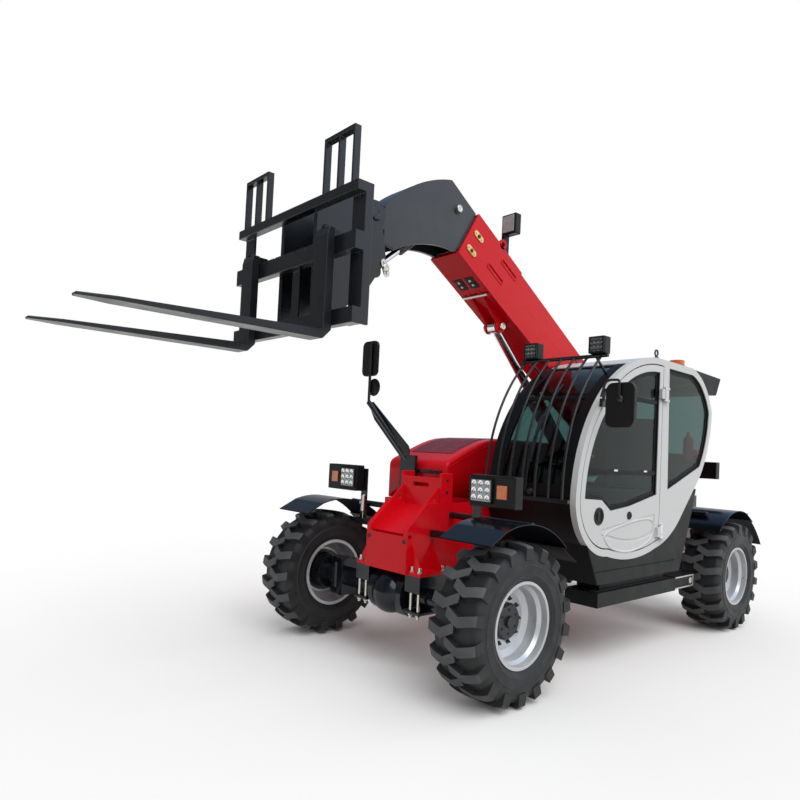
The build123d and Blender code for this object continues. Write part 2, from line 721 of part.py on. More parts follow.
# Hood: hollow cover with a rounded front, hinged at its rear edge
hood_low = bay_top + 5
hood_front = bay_front - 20
hood_slope = hood_front - 560
hood_lip = 1290
hood_wall = 30
grille_inset = 85
with BuildSketch() as hood_shape:
    with BuildLine():
        FilletPolyline((hood_front, hood_low), (hood_front, hood_lip), (hood_slope, hood_top),
                       (bay_rear, hood_top),
                       (bay_rear, hood_low), radius=[110, 500, 60])
        Line((bay_rear, hood_low), (hood_front, hood_low))
    make_face()
with BuildSketch() as hood_hollow:
    add(hood_shape.sketch)
    offset(amount=-hood_wall, kind=Kind.INTERSECTION, mode=Mode.REPLACE)
    with Locations(((hood_front + bay_rear) / 2, hood_low)):
        Rectangle(hood_front - bay_rear - 2 * hood_wall, 4 * hood_wall)
with BuildPart() as hood:
    panel(hood_shape, (bay_right, bay_left))
    panel(hood_hollow, (bay_right + hood_wall, bay_left - hood_wall), mode=Mode.SUBTRACT)
    block((bay_rear + 120, hood_slope), (bay_right + grille_inset, bay_left - grille_inset),
          (hood_top - 50, hood_top + 20),
          mode=Mode.SUBTRACT)
    for row in hood_hinge_rows:
        block((bay_rear - 22, bay_rear + 1), (row - 25, row + 25), (hood_low + 3, hood_low + 25))
        rod((hinge_back, row - 25, hinge_up), (hinge_back, row + 25, hinge_up), 14)
        rod((hinge_back, row - 26, hinge_up), (hinge_back, row + 26, hinge_up), hinge_pin + running_gap,
            mode=Mode.SUBTRACT)
keep(hood.part, "hood")

grille_bars = 11
grille_bar = 24
slot_pitch = (bay_left - bay_right - 2 * grille_inset) / (grille_bars + 1)
with BuildPart() as hood_grille:
    block((bay_rear + 120, hood_slope), (bay_right + grille_inset, bay_left - grille_inset),
          (hood_top - 20, hood_top - 5))
    for row in range(grille_bars):
        slot_y = bay_right + grille_inset + (row + 1) * slot_pitch
        block((bay_rear + 150, hood_slope - 30), (slot_y - grille_bar / 2, slot_y + grille_bar / 2),
              (hood_top - 12, hood_top), mode=Mode.SUBTRACT)
keep(hood_grille.part, "hood_grille")

# Lamp boxes: front pair, rear pair and two work lamps on the guard's top bar, with their lenses
rear_lamp_x = weight_rear + 240
roof_lamp = 108
roof_lamp_rows = [guard_first + 55, guard_last - 20]
roof_lamp_low = guard_top[1] + guard_rail
lens_thick = 8
with BuildPart() as lamp_boxes:
    for near, far in both(lamp_inner, lamp_outer):
        block((lamp_back, lamp_front), (near, far), (lamp_low, lamp_high))
    for near, far in both(330, 650):
        block((rear_lamp_x, rear_lamp_x + 70), (near, far), (lamp_low + 175, lamp_high + 145))
    for lamp_y in roof_lamp_rows:
        block((guard_top[0] - 45, guard_top[0] + 25), (lamp_y - roof_lamp / 2, lamp_y + roof_lamp / 2),
              (roof_lamp_low, roof_lamp_low + roof_lamp))
keep(lamp_boxes.part, "lamp_boxes")

with BuildPart() as lamp_lenses:
    for near, far in both(lamp_inner + 18, lamp_inner + 162):
        block((lamp_front, lamp_front + lens_thick), (near, far), (lamp_low + 30, lamp_high - 27))
    for lamp_y in roof_lamp_rows:
        block((guard_top[0] + 25, guard_top[0] + 25 + lens_thick), (lamp_y - 42, lamp_y + 42),
              (roof_lamp_low + 12, roof_lamp_low + 96))
keep(lamp_lenses.part, "lamp_lenses")

beacon_place = (cab_rear + 400, cab_left - 100)
beacon_radius = 53
with BuildPart() as amber_lenses:
    for near, far in both(lamp_outer - 119, lamp_outer - 52):
        block((lamp_front, lamp_front + lens_thick), (near, far), (lamp_low + 51, lamp_high - 50))
    rod((*beacon_place, roof_z - 40), (*beacon_place, roof_z + 52), beacon_radius)
    panel(cab_shape, (cab_right, cab_left), mode=Mode.SUBTRACT)
keep(amber_lenses.part, "amber_lenses")

# Lamp brackets: posts from the frame for the front pair, from the counterweight for the rear pair
post_inner = 475
post_outer = 540
post_thick = 8
arm_depth = 40
arm_low = 770
arm_high = 810
weight_top = 1000
with BuildPart() as lamp_brackets:
    for near, far in both(post_inner, post_outer):
        block((lamp_back - post_thick, lamp_back), (near, far), (arm_low, lamp_high - 20))
    for near, far in both(frame_outer, post_outer):
        block((lamp_back, lamp_back + arm_depth), (near, far), (arm_low, arm_high))
    for near, far in both(330, 358):
        block((rear_lamp_x, rear_lamp_x + 70), (near, far), (weight_top, lamp_low + 175))
keep(lamp_brackets.part, "lamp_brackets")

# Rear counterweight, lamp bar and tow hitch
tow_low = 600
tow_high = 700
tow_plate = 25
with BuildPart() as counterweight:
    slab([(weight_rear + 60, 500), (frame_rear, 500), (frame_rear, weight_top), (weight_rear, weight_top),
          (weight_rear, 620)],
         (-360, 360))
    block((weight_rear - 5, weight_rear + 40), (-800, 800), (800, 880))
    for plate_low in (tow_low, tow_high):
        block((rear_end, weight_rear + 50), (-60, 60), (plate_low, plate_low + tow_plate))
    rod((rear_end + 40, 0, tow_low - 10), (rear_end + 40, 0, tow_high + tow_plate + 10), tow_pin_radius,
        mode=Mode.SUBTRACT)
keep(counterweight.part, "counterweight")

# Outer boom: folded box with collar, pressed grooves, lift lugs and pivot bore
fold_v = -10
fold_step = 3
lug_u = boom_length - lug_setback
lug_v = boom_low - lug_drop
collar_half_width = boom_half_width + collar_step
collar_low = boom_low - 10
collar_high = boom_high + 5
groove_rows = [(520, 62), (430, -62)]
groove_length = 165
with BuildPart() as outer_boom:
    slab([(-70, boom_low), (boom_length, boom_low), (boom_length, boom_high), (-70, boom_high)],
         (-boom_half_width + fold_step, boom_half_width - fold_step), boom_side)
    slab([(-70, boom_low), (boom_length, boom_low), (boom_length, fold_v), (-70, fold_v)],
         (-boom_half_width, boom_half_width), boom_side)
    slab([(boom_length - collar_low_length, collar_low), (boom_length, collar_low),
          (boom_length, collar_high),
          (boom_length - collar_high_length, collar_high), (boom_length - collar_high_length - 40, 0)],
         (-collar_half_width, collar_half_width), boom_side)
    slab([(100, boom_low + 12), (boom_length + 1, boom_low + 12), (boom_length + 1, boom_high - 12),
          (100, boom_high - 12)],
         (-boom_half_width + boom_wall, boom_half_width - boom_wall), boom_side, mode=Mode.SUBTRACT)
    for setback, groove_v in groove_rows:
        for near, far in both(collar_half_width - 4, collar_half_width + 1):
            slab([(boom_length - setback, groove_v - 11),
                  (boom_length - setback + groove_length, groove_v - 11),
                  (boom_length - setback + groove_length, groove_v + 11),
                  (boom_length - setback, groove_v + 11)],
                 (near, far), boom_side, mode=Mode.SUBTRACT)
    disc((0, 0), pivot_radius + running_gap, (-200, 200), boom_side, mode=Mode.SUBTRACT)
    for near, far in both(40, 58):
        slab([(lug_u - lug_radius, lug_v), (lug_u - lug_radius, collar_low), (lug_u + 319, collar_low),
              (lug_u + lug_radius, lug_v)], (near, far), boom_side)
        disc((lug_u, lug_v), lug_radius, (near, far), boom_side)
    disc((lug_u, lug_v), lift_pin, (-70, 70), boom_side)
    for low, high in ((boom_low + 11, inner_low - pad_gap), (inner_high + pad_gap, boom_high - 11)):
        slab([(boom_length - pad_length, low), (boom_length, low), (boom_length, high),
              (boom_length - pad_length, high)],
             (-pad_half_width, pad_half_width), boom_side)
keep(outer_boom.part, "outer_boom")

# Work lamp on a bracket at the boom's upper left edge
lamp_u = boom_length - 361
lamp_width = 120
with BuildPart() as boom_lamp:
    foot_rear = from_boom(lamp_u - 35, collar_high)
    foot_front = from_boom(lamp_u + 35, collar_high)
    slab([foot_rear, foot_front, (foot_front[0], foot_front[1] + 100), (foot_rear[0], foot_front[1] + 100)],
         (collar_half_width - 37, collar_half_width - 12))
    block((foot_rear[0], foot_front[0]), (collar_half_width - 37, collar_half_width - 37 + lamp_width),
          (foot_front[1] + 100, foot_front[1] + 240))
keep(boom_lamp.part, "boom_lamp")

neck_start = boom_length + neck_gap
with BuildPart() as inner_boom:
    slab([(inner_rear, inner_low), (neck_start, inner_low), (neck_start, inner_high),
          (inner_rear, inner_high)],
         (-inner_half_width, inner_half_width), boom_side)
    slab([(inner_rear - 1, inner_low + inner_wall), (neck_start + 1, inner_low + inner_wall),
          (neck_start + 1, inner_high - inner_wall), (inner_rear - 1, inner_high - inner_wall)],
         (-inner_half_width + inner_wall, inner_half_width - inner_wall), boom_side, mode=Mode.SUBTRACT)
    for low, high in ((boom_low + 12 + pad_gap, inner_low + 1), (inner_high - 1, boom_high - 12 - pad_gap)):
        slab([(inner_rear, low), (inner_rear + pad_length, low), (inner_rear + pad_length, high),
              (inner_rear, high)],
             (-pad_half_width, pad_half_width), boom_side)
keep(inner_boom.part, "inner_boom")

# Gooseneck head: curved box, open below for the tilt cylinder
neck_wall = 24
tilt_foot_x, tilt_foot_z = from_boom(boom_length + tilt_foot_u, tilt_foot_v)
tilt_foot_pin = 25
crest = (boom_length + 290, 157)
brow = (boom_length + 590, -403)
chin = (boom_length + 387, -555)
with BuildPart() as gooseneck:
    with BuildSketch(boom_side(inner_half_width)) as neck:
        with BuildLine():
            Polyline((neck_start, -194), (neck_start, 150), crest)
            ThreePointArc(crest, (boom_length + 476, -84), brow)
            Polyline(brow, (boom_length + 477, -592), chin)
            ThreePointArc(chin, (boom_length + 245, -362), (neck_start, -194))
        make_face()
    extrude(neck.sketch, amount=2 * inner_half_width)
    disc((tilt_pin_x, tilt_pin_z), 2 * tilt_pin_radius, (-inner_half_width, inner_half_width))
    slab([(tilt_pin_x - 140, tilt_pin_z + 60), (tilt_pin_x - 140, tilt_pin_z - 60),
          (tilt_pin_x, tilt_pin_z - 60),
          (tilt_pin_x, tilt_pin_z + 60)], (-inner_half_width, inner_half_width))
    slab([(boom_length - 35, -132), (boom_length + 16, 70), (boom_length + 259, 105),
          (boom_length + 333, 55),
          (boom_length + 433, -110), (boom_length + 541, -397), (boom_length + 556,
                                                                 -371), (boom_length + 813, -525),
          (boom_length + 607, -868), (boom_length + 100, -560), (boom_length - 35, -260)],
         (-inner_half_width + neck_wall, inner_half_width - neck_wall), boom_side, mode=Mode.SUBTRACT)
    disc((tilt_pin_x, tilt_pin_z), tilt_pin_radius + running_gap, (-200, 200), mode=Mode.SUBTRACT)
    disc((tilt_foot_x, tilt_foot_z), tilt_foot_pin, (-inner_half_width - 8, inner_half_width + 8))
keep(gooseneck.part, "gooseneck")

# Coupler on the tilt pin
eye_x = tilt_pin_x - eye_behind
eye_z = tilt_pin_z - eye_drop
hitch_x = tilt_pin_x + hitch_back
ear_near = inner_half_width + 8
ear_far = ear_near + 28
with BuildPart() as coupler:
    disc((tilt_pin_x, tilt_pin_z), tilt_pin_radius, (-ear_far, ear_far))
    for near, far in both(ear_near, ear_far):
        disc((tilt_pin_x, tilt_pin_z), 75, (near, far))
        slab([(tilt_pin_x, tilt_pin_z + 75), (tilt_pin_x - 50, tilt_pin_z - 50), (eye_x - 10, eye_z + 45),
              (hitch_x - 60, tilt_pin_z - 520), (hitch_x, tilt_pin_z - 520), (hitch_x, tilt_pin_z + 65)],
              (near, far))
        disc((hitch_x - 40, tilt_pin_z - 510), 38, (near, far))
    block((hitch_x - 30, hitch_x), (-ear_near, ear_near), (tilt_pin_z - 510, tilt_pin_z - 130))
    for near, far in both(44, 62):
        slab([(eye_x, eye_z + 40), (eye_x, eye_z - 40), (hitch_x - 30, eye_z - 155),
              (hitch_x - 30, eye_z + 125)], (near, far))
        disc((eye_x, eye_z), 40, (near, far))
keep(coupler.part, "coupler")

# Fork carriage: angle uprights, notched fork bar, hitch plates and cross plate
bar_rear = tilt_pin_x + bar_back
fork_bottom = tilt_pin_z - fork_bottom_drop
carriage_low = tilt_pin_z - 748
carriage_high = tilt_pin_z - 70
fork_bar_low = tilt_pin_z - 400
fork_bar_high = tilt_pin_z - 310
upright_depth = 50
upright_thick = 16
flange_width = 100
notches = 8
with BuildPart() as carriage:
    for near, far in both(ear_far + 2, ear_far + 30):
        slab([(hitch_x, tilt_pin_z + 70), (hitch_x, tilt_pin_z - 530), (bar_rear, carriage_low),
              (bar_rear, carriage_high)],
             (near, far))
    block((hitch_x, hitch_x + 22), (-ear_far - 2, ear_far + 2), (tilt_pin_z - 500, tilt_pin_z - 130))
    for bar_low, bar_high in ((carriage_low, carriage_low + 78), (fork_bar_low, fork_bar_high),
                              (carriage_high - 50, carriage_high)):
        block((bar_rear, bar_front), (-carriage_half_width, carriage_half_width), (bar_low, bar_high))
    for near, far in both(carriage_half_width - upright_thick, carriage_half_width):
        block((bar_rear - upright_depth, bar_rear), (near, far), (carriage_low, carriage_high))
    for near, far in both(carriage_half_width - flange_width, carriage_half_width):
        block((bar_rear - upright_thick, bar_rear), (near, far), (carriage_low, carriage_high))
    block((bar_rear - upright_thick, bar_rear), (-35, 35), (carriage_low, fork_bar_high))
    for row in range(notches):
        notch_y = (row - (notches - 1) / 2) * notch_step
        block((bar_rear + 20, bar_front + 1), (notch_y - 7, notch_y + 7),
              (fork_bar_high - 12, fork_bar_high + 1), mode=Mode.SUBTRACT)
keep(carriage.part, "fork_carriage")

rest_rows = [270, 388, 505]
rest_top = tilt_pin_z + 190
with BuildPart() as backrests:
    for hand in (1, -1):
        for rest_y in rest_rows:
            block((bar_front - 45, bar_front - 5), (hand * rest_y, hand * (rest_y + 14)),
                  (carriage_high, rest_top))
        block((bar_front - 45, bar_front - 5), (hand * rest_rows[0], hand * (rest_rows[-1] + 14)),
              (rest_top, rest_top + 22))
keep(backrests.part, "backrests")

fork_top = tilt_pin_z - fork_top_drop
heel = 45
tip_thick = 12
for fork_name, hand in (("fork_left", 1), ("fork_right", -1)):
    fork_y = hand * fork_centre
    with BuildPart() as fork:
        slab([(bar_front, fork_bottom + heel), (bar_front, fork_top), (bar_front + 40, fork_top),
              (bar_front + fork_thick, fork_top - 40), (bar_front + fork_thick, fork_bottom + heel),
              (fork_tip, fork_bottom + tip_thick), (fork_tip, fork_bottom),
              (bar_front + heel, fork_bottom)],
             (fork_y - fork_width / 2, fork_y + fork_width / 2))
        block((bar_rear - 12, bar_front), (fork_y - 40, fork_y + 40), (fork_bar_high, fork_top))
        for edge in (fork_y - fork_width / 2, fork_y + fork_width / 2):
            with BuildSketch(Plane.XY.offset(fork_bottom - 1)) as taper:
                with BuildLine():
                    Polyline((front_x + fork_tip - 140, edge), (front_x + fork_tip + 1, edge),
                             (front_x + fork_tip + 1, edge + (30 if edge < fork_y else -30)), close=True)
                make_face()
            extrude(taper.sketch, amount=2 * heel, mode=Mode.SUBTRACT)
    keep(fork.part, fork_name)

# Lift cylinder
lug_x, lug_z = from_boom(lug_u, lug_v)
lift_length = hypot(lug_x - foot_x, lug_z - foot_z)
lift_reach = 1180
gland = 30


def along_lift(distance):
    share = distance / lift_length
    return foot_x + share * (lug_x - foot_x), 0, foot_z + share * (lug_z - foot_z)


with BuildPart() as lift_barrel:
    rod(along_lift(40), along_lift(lift_reach), lift_barrel_radius)
    rod(along_lift(90), along_lift(lift_reach - gland), lift_barrel_radius - 15, mode=Mode.SUBTRACT)
    disc((foot_x, foot_z), 2 * foot_pin + 2, (-50, 50))
    disc((foot_x, foot_z), foot_pin + 1, (-60, 60), mode=Mode.SUBTRACT)
    rod(along_lift(lift_reach - gland - 10), along_lift(lift_reach + 1), lift_rod_radius + running_gap,
        mode=Mode.SUBTRACT)
keep(lift_barrel.part, "lift_barrel")

with BuildPart() as lift_rod:
    rod(along_lift(lift_reach - 540), along_lift(lift_length - 30), lift_rod_radius)
    disc((lug_x, lug_z), 42, (-32, 32))
    disc((lug_x, lug_z), lift_pin + running_gap, (-33, 33), mode=Mode.SUBTRACT)
keep(lift_rod.part, "lift_rod")

# Tilt cylinder
tilt_length = hypot(eye_x - tilt_foot_x, eye_z - tilt_foot_z)
tilt_reach = 515
tilt_barrel_radius = 36
tilt_rod_radius = 20


def along_tilt(distance):
    share = distance / tilt_length
    return tilt_foot_x + share * (eye_x - tilt_foot_x), 0, tilt_foot_z + share * (eye_z - tilt_foot_z)


with BuildPart() as tilt_barrel:
    rod(along_tilt(25), along_tilt(tilt_reach), tilt_barrel_radius)
    rod(along_tilt(46), along_tilt(tilt_reach - 25), tilt_barrel_radius - 7, mode=Mode.SUBTRACT)
    rod(along_tilt(tilt_reach - 35), along_tilt(tilt_reach + 1), tilt_rod_radius + running_gap,
        mode=Mode.SUBTRACT)
    disc((tilt_foot_x, tilt_foot_z), 42, (-40, 40))
    disc((tilt_foot_x, tilt_foot_z), tilt_foot_pin + running_gap, (-50, 50), mode=Mode.SUBTRACT)
keep(tilt_barrel.part, "tilt_barrel")

with BuildPart() as tilt_rod:
    rod(along_tilt(tilt_reach - 220), along_tilt(tilt_length - 25), tilt_rod_radius)
    disc((eye_x, eye_z), 34, (-34, 34))
    disc((eye_x, eye_z), 18, (-35, 35), mode=Mode.SUBTRACT)
keep(tilt_rod.part, "tilt_rod")

# Mirrors on their stalks
left_mirror_x = cab_front - 143
left_mirror_z = 1690
right_mirror_x = cab_front + 64
right_foot_y = -560
right_mirror_y = -1000
right_mirror_z = 1860
with BuildPart() as mirror_stalks:
    block((left_mirror_x - 113, left_mirror_x - 73), (cab_left, cab_left + 20),
          (left_mirror_z - 90, left_mirror_z - 40))
    rod((left_mirror_x - 88, cab_left + 15, left_mirror_z - 50),
        (left_mirror_x, cab_left + 75, left_mirror_z), 10)
    rod((left_mirror_x, cab_left + 68, left_mirror_z), (left_mirror_x, cab_left + 90, left_mirror_z), 10)
    block((bay_front, bay_front + 25), (right_foot_y - 80, right_foot_y + 80),
          (bay_top - 120, bay_top + 330))
    rod((right_mirror_x - 55, right_foot_y, bay_top + 280), (right_mirror_x, right_mirror_y, bay_top + 730),
        20)
    rod((right_mirror_x, right_mirror_y, bay_top + 715),
        (right_mirror_x, right_mirror_y, right_mirror_z + 260), 11)
keep(mirror_stalks.part, "mirror_stalks")

with BuildPart() as mirrors:
    block((left_mirror_x - 18, left_mirror_x + 17), (cab_left + 90, cab_left + 270),
          (left_mirror_z - 220, left_mirror_z + 40))
    block((right_mirror_x - 38, right_mirror_x - 11), (right_mirror_y - 120, right_mirror_y + 60),
          (right_mirror_z, right_mirror_z + 280))
    rod((right_mirror_x - 36, right_mirror_y + 20, right_mirror_z - 90),
        (right_mirror_x - 11, right_mirror_y + 20, right_mirror_z - 90), 70)
keep(mirrors.part, "mirrors")
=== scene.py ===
import math

import bmesh
import bpy
from mathutils import Matrix, Vector


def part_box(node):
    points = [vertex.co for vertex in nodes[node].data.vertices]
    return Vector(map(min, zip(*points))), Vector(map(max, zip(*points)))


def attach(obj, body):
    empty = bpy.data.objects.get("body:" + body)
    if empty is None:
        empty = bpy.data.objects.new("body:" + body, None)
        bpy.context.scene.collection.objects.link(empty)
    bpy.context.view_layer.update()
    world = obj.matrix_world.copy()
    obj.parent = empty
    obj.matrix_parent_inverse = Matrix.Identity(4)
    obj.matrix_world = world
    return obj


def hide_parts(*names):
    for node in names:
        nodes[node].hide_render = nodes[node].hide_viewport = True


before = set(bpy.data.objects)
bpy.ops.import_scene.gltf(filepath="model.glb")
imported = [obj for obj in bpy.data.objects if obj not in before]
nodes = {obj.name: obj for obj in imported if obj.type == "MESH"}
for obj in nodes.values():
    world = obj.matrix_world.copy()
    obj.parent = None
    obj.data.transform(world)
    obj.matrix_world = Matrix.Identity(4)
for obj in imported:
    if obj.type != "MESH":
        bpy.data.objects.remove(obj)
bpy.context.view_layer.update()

# places are metres ahead of the front axle, as on the machine's own drawing
wheelLow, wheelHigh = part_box("rim_fl")
axleAhead = (wheelLow.x + wheelHigh.x) / 2
axleHeight = (wheelLow.z + wheelHigh.z) / 2
wheelPlane = (wheelLow.y + wheelHigh.y) / 2
wheelBase = axleAhead - (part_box("rim_rl")[0].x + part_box("rim_rl")[1].x) / 2
corners = [("fl", 0.0, 1), ("fr", 0.0, -1), ("rl", -wheelBase, 1), ("rr", -wheelBase, -1)]
print("frame loaded,", len(nodes), "nodes")


def at(x, y, z):
    return Vector((axleAhead + x, y, z))


def onCorners(stem):
    return [f"{stem}_{corner}" for corner, wheelX, hand in corners]


def turnOf(k, count):
    return 2 * math.pi * k / count


boomShape = {"angle": math.radians(31), "pivotX": -2.85, "pivotZ": 1.24}


def onBoom(u, y, v):
    # u runs along the boom from its rear pivot, v square to it
    c, s = math.cos(boomShape["angle"]), math.sin(boomShape["angle"])
    return at(boomShape["pivotX"] + u * c - v * s, y, boomShape["pivotZ"] + u * s + v * c)


alongBoom = Vector((math.cos(boomShape["angle"]), 0, math.sin(boomShape["angle"])))
acrossBoom = Vector((-math.sin(boomShape["angle"]), 0, math.cos(boomShape["angle"])))
leftWay, upWay, aheadWay = Vector((0, 1, 0)), Vector((0, 0, 1)), Vector((1, 0, 0))


# finishes: small node helpers first
def feed(tree, node, inputs):
    # an output is linked, a plain value is set
    for key, value in inputs.items():
        if hasattr(value, "is_output"):
            tree.links.new(value, node.inputs[key])
        else:
            node.inputs[key].default_value = value


def addNode(tree, kind, inputs=None, **settings):
    node = tree.nodes.new("ShaderNode" + kind)
    for key, value in settings.items():
        setattr(node, key, value)
    feed(tree, node, inputs or {})
    return node


def newFinish(name):
    finish = bpy.data.materials.new(name)
    finish.use_nodes = True
    return finish, finish.node_tree, finish.node_tree.nodes["Principled BSDF"]


def placeOf(tree):
    return addNode(tree, "TexCoord").outputs["Object"]


def normalOf(tree):
    return addNode(tree, "NewGeometry").outputs["Normal"]


def noiseOf(tree, scale, detail):
    inputs = {"Scale": scale, "Detail": detail, "Vector": placeOf(tree)}
    return addNode(tree, "TexNoise", inputs).outputs["Fac"]


def cellsOf(tree, scale, randomness):
    inputs = {"Scale": scale, "Randomness": randomness, "Vector": placeOf(tree)}
    return addNode(tree, "TexVoronoi", inputs).outputs["Distance"]


def rampOf(tree, source, *stops):
    ramp = addNode(tree, "ValToRGB", {"Fac": source})
    while len(ramp.color_ramp.elements) < len(stops):
        ramp.color_ramp.elements.new(0.5)
    for element, (place, colour) in zip(ramp.color_ramp.elements, stops):
        element.position = place
        element.color = (*colour, 1) if hasattr(colour, "__len__") else (colour, colour, colour, 1)
    return ramp.outputs["Color"]


def cloudOf(tree, scale, detail, *stops):
    return rampOf(tree, noiseOf(tree, scale, detail), *stops)


def mixOf(tree, share, first, second):
    first, second = (value if hasattr(value, "is_output") else (*value, 1) for value in (first, second))
    return addNode(tree, "Mix", {0: share, 6: first, 7: second}, data_type="RGBA").outputs[2]


def dotOf(tree, first, second):
    return addNode(tree, "VectorMath", {0: first, 1: second}, operation="DOT_PRODUCT").outputs["Value"]


def upShare(tree, way):
    # 0 where the way points straight down, 1 where it points up
    rise = addNode(tree, "SeparateXYZ", {"Vector": way}).outputs["Z"]
    return addNode(tree, "Math", {0: rise, 1: 0.5, 2: 0.5}, operation="MULTIPLY_ADD").outputs["Value"]


def roundedNormal(tree, radius):
    return addNode(tree, "Bevel", {"Radius": radius}, samples=4).outputs["Normal"]


def bumpOf(tree, height, strength, distance, normal=None):
    bump = addNode(tree, "Bump", {"Strength": strength, "Distance": distance, "Height": height})
    if normal:
        feed(tree, bump, {"Normal": normal})
    return bump.outputs["Normal"]


def shades(colour, spread):
    dark = tuple(c * (1 - spread) for c in colour)
    return dark, tuple(min(1, c * (1 + spread) + 0.015 * spread) for c in colour)


def paintFinish(name, colour, rough, metallic=0.0, coat=0.0, spread=0.08, peel=0.0002, peelScale=260,
                wear=None, wearShare=0.6, soft=0.003, shine=0.5, film=0.07):
    finish, tree, bsdf = newFinish(name)
    dark, light = shades(colour, spread)
    cloud = cloudOf(tree, 3.2, 6, (0.3, dark), (0.7, light))
    rounded = roundedNormal(tree, soft)
    if wear:
        # the rounded normal leaves the true one only near an edge
        edge = rampOf(tree, dotOf(tree, rounded, normalOf(tree)), (0.8, 1.0), (0.97, 0.0))
        speck = cloudOf(tree, 34, 6, (0.5, 0.0), (0.72, wearShare))
        share = addNode(tree, "Math", {0: edge, 1: speck}, operation="MULTIPLY").outputs["Value"]
        cloud = mixOf(tree, share, cloud, wear)
    feed(tree, bsdf, {
        "Base Color": cloud, "Metallic": metallic, "Specular IOR Level": shine,
        "Roughness": cloudOf(tree, 9, 5, (0.3, max(0.03, rough - film)), (0.75, min(1, rough + film))),
        "Coat Weight": coat, "Coat Roughness": 0.06,
        "Normal": bumpOf(tree, noiseOf(tree, peelScale, 2), 0.35, peel, rounded),
    })
    return finish


paints = {
    "redPaint": dict(colour=(0.7, 0.003, 0.01), rough=0.26, coat=0.05, shine=0.17, spread=0.02, film=0.03,
                     wear=(0.36, 0.02, 0.02), wearShare=0.3),
    "satinBlack": dict(colour=(0.0042, 0.0054, 0.0078), rough=0.3, shine=0.55, wear=(0.05, 0.052, 0.058)),
    "graphite": dict(colour=(0.021, 0.025, 0.0275), rough=0.3, shine=0.55, wear=(0.08, 0.08, 0.085)),
    "glossBlack": dict(colour=(0.004, 0.0055, 0.009), rough=0.2, coat=0.1, shine=0.36, peel=0.0001),
    "shellWhite": dict(colour=(0.66, 0.672, 0.675), rough=0.3, coat=0.25, spread=0.008, film=0.02),
    "bodyCharcoal": dict(colour=(0.0065, 0.0075, 0.0078), rough=0.4, shine=0.16, peel=0.0006, peelScale=420),
    "mouldedBlack": dict(colour=(0.0045, 0.0046, 0.005), rough=0.5, shine=0.22, peel=0.0006, peelScale=600),
    "lampBlack": dict(colour=(0.0045, 0.0046, 0.0054), rough=0.42, shine=0.26, peel=0.0005, peelScale=520),
    "rimSilver": dict(colour=(0.58, 0.59, 0.605), rough=0.34, metallic=0.5, coat=0.2, spread=0.05),
    "forkBlack": dict(colour=(0.0075, 0.009, 0.0115), rough=0.34, shine=0.45,
                      wear=(0.16, 0.16, 0.16), wearShare=0.9),
    "engineIron": dict(colour=(0.09, 0.09, 0.095), rough=0.6, metallic=0.3, spread=0.2,
                       peel=0.002, peelScale=90),
    "smokeCup": dict(colour=(0.1, 0.105, 0.115), rough=0.25, metallic=0.9, spread=0.1),
    "zinc": dict(colour=(0.62, 0.6, 0.54), rough=0.3, metallic=1.0, spread=0.12, soft=0.0012),
    "chrome": dict(colour=(0.74, 0.75, 0.77), rough=0.12, metallic=1.0, spread=0.03, peel=0.00005),
    "brass": dict(colour=(0.72, 0.46, 0.14), rough=0.34, metallic=1.0, spread=0.15, soft=0.0012),
    "sealRubber": dict(colour=(0.0035, 0.0036, 0.004), rough=0.55, shine=0.22, peel=0.0004, peelScale=700),
    "redFlask": dict(colour=(0.78, 0.015, 0.015), rough=0.3, coat=0.4),
}
finishes = {name: paintFinish(name, **look) for name, look in paints.items()}
print("paints made:", len(finishes))


def shellWithPaintedShade():
    # white outside; faces turned into the cab and downward are painted near black as shade
    finish = paintFinish("shellWithPaintedShade", **paints["shellWhite"])
    tree = finish.node_tree
    bsdf = tree.nodes["Principled BSDF"]
    outside = bsdf.inputs["Base Color"].links[0].from_socket
    # painted shade: faces turning towards -y and down fade to near black
    paintedShadeMask = rampOf(tree, dotOf(tree, normalOf(tree), (0, -0.9, -0.5)), (0.36, 0.0), (0.44, 1.0))
    feed(tree, bsdf, {"Base Color": mixOf(tree, paintedShadeMask, outside, (0.006, 0.006, 0.0065))})
    return finish


def fenderBlack():
    # gloss on top, dull underneath
    finish = paintFinish("fenderBlack", **paints["glossBlack"])
    tree = finish.node_tree
    facing = upShare(tree, normalOf(tree))
    feed(tree, tree.nodes["Principled BSDF"], {
        "Roughness": rampOf(tree, facing, (0.42, 0.9), (0.52, 0.18)), "Coat Weight": 0.0,
        "Specular IOR Level": rampOf(tree, facing, (0.42, 0.03), (0.52, 0.42)),
    })
    return finish


def tyreRubber():
    finish, tree, bsdf = newFinish("tyreRubber")
    cloud = cloudOf(tree, 5, 7, (0.3, (0.0085, 0.0088, 0.0092)), (0.75, (0.017, 0.0174, 0.018)))
    dust = cloudOf(tree, 22, 8, (0.58, 0.0), (0.8, 0.5))
    feed(tree, bsdf, {
        "Base Color": mixOf(tree, dust, cloud, (0.034, 0.033, 0.031)),
        "Roughness": cloudOf(tree, 14, 4, (0.3, 0.5), (0.7, 0.68)),
        "Normal": bumpOf(tree, noiseOf(tree, 130, 6), 0.35, 0.0016, roundedNormal(tree, 0.003)),
    })
    return finish


def tyreTread():
    finish, tree, bsdf = newFinish("tyreTread")
    feed(tree, bsdf, {
        "Base Color": cloudOf(tree, 9, 8, (0.3, (0.062, 0.065, 0.068)), (0.75, (0.104, 0.107, 0.11))),
        "Roughness": cloudOf(tree, 30, 4, (0.3, 0.6), (0.7, 0.78)),
        "Normal": bumpOf(tree, noiseOf(tree, 160, 6), 0.35, 0.0014),
    })
    return finish


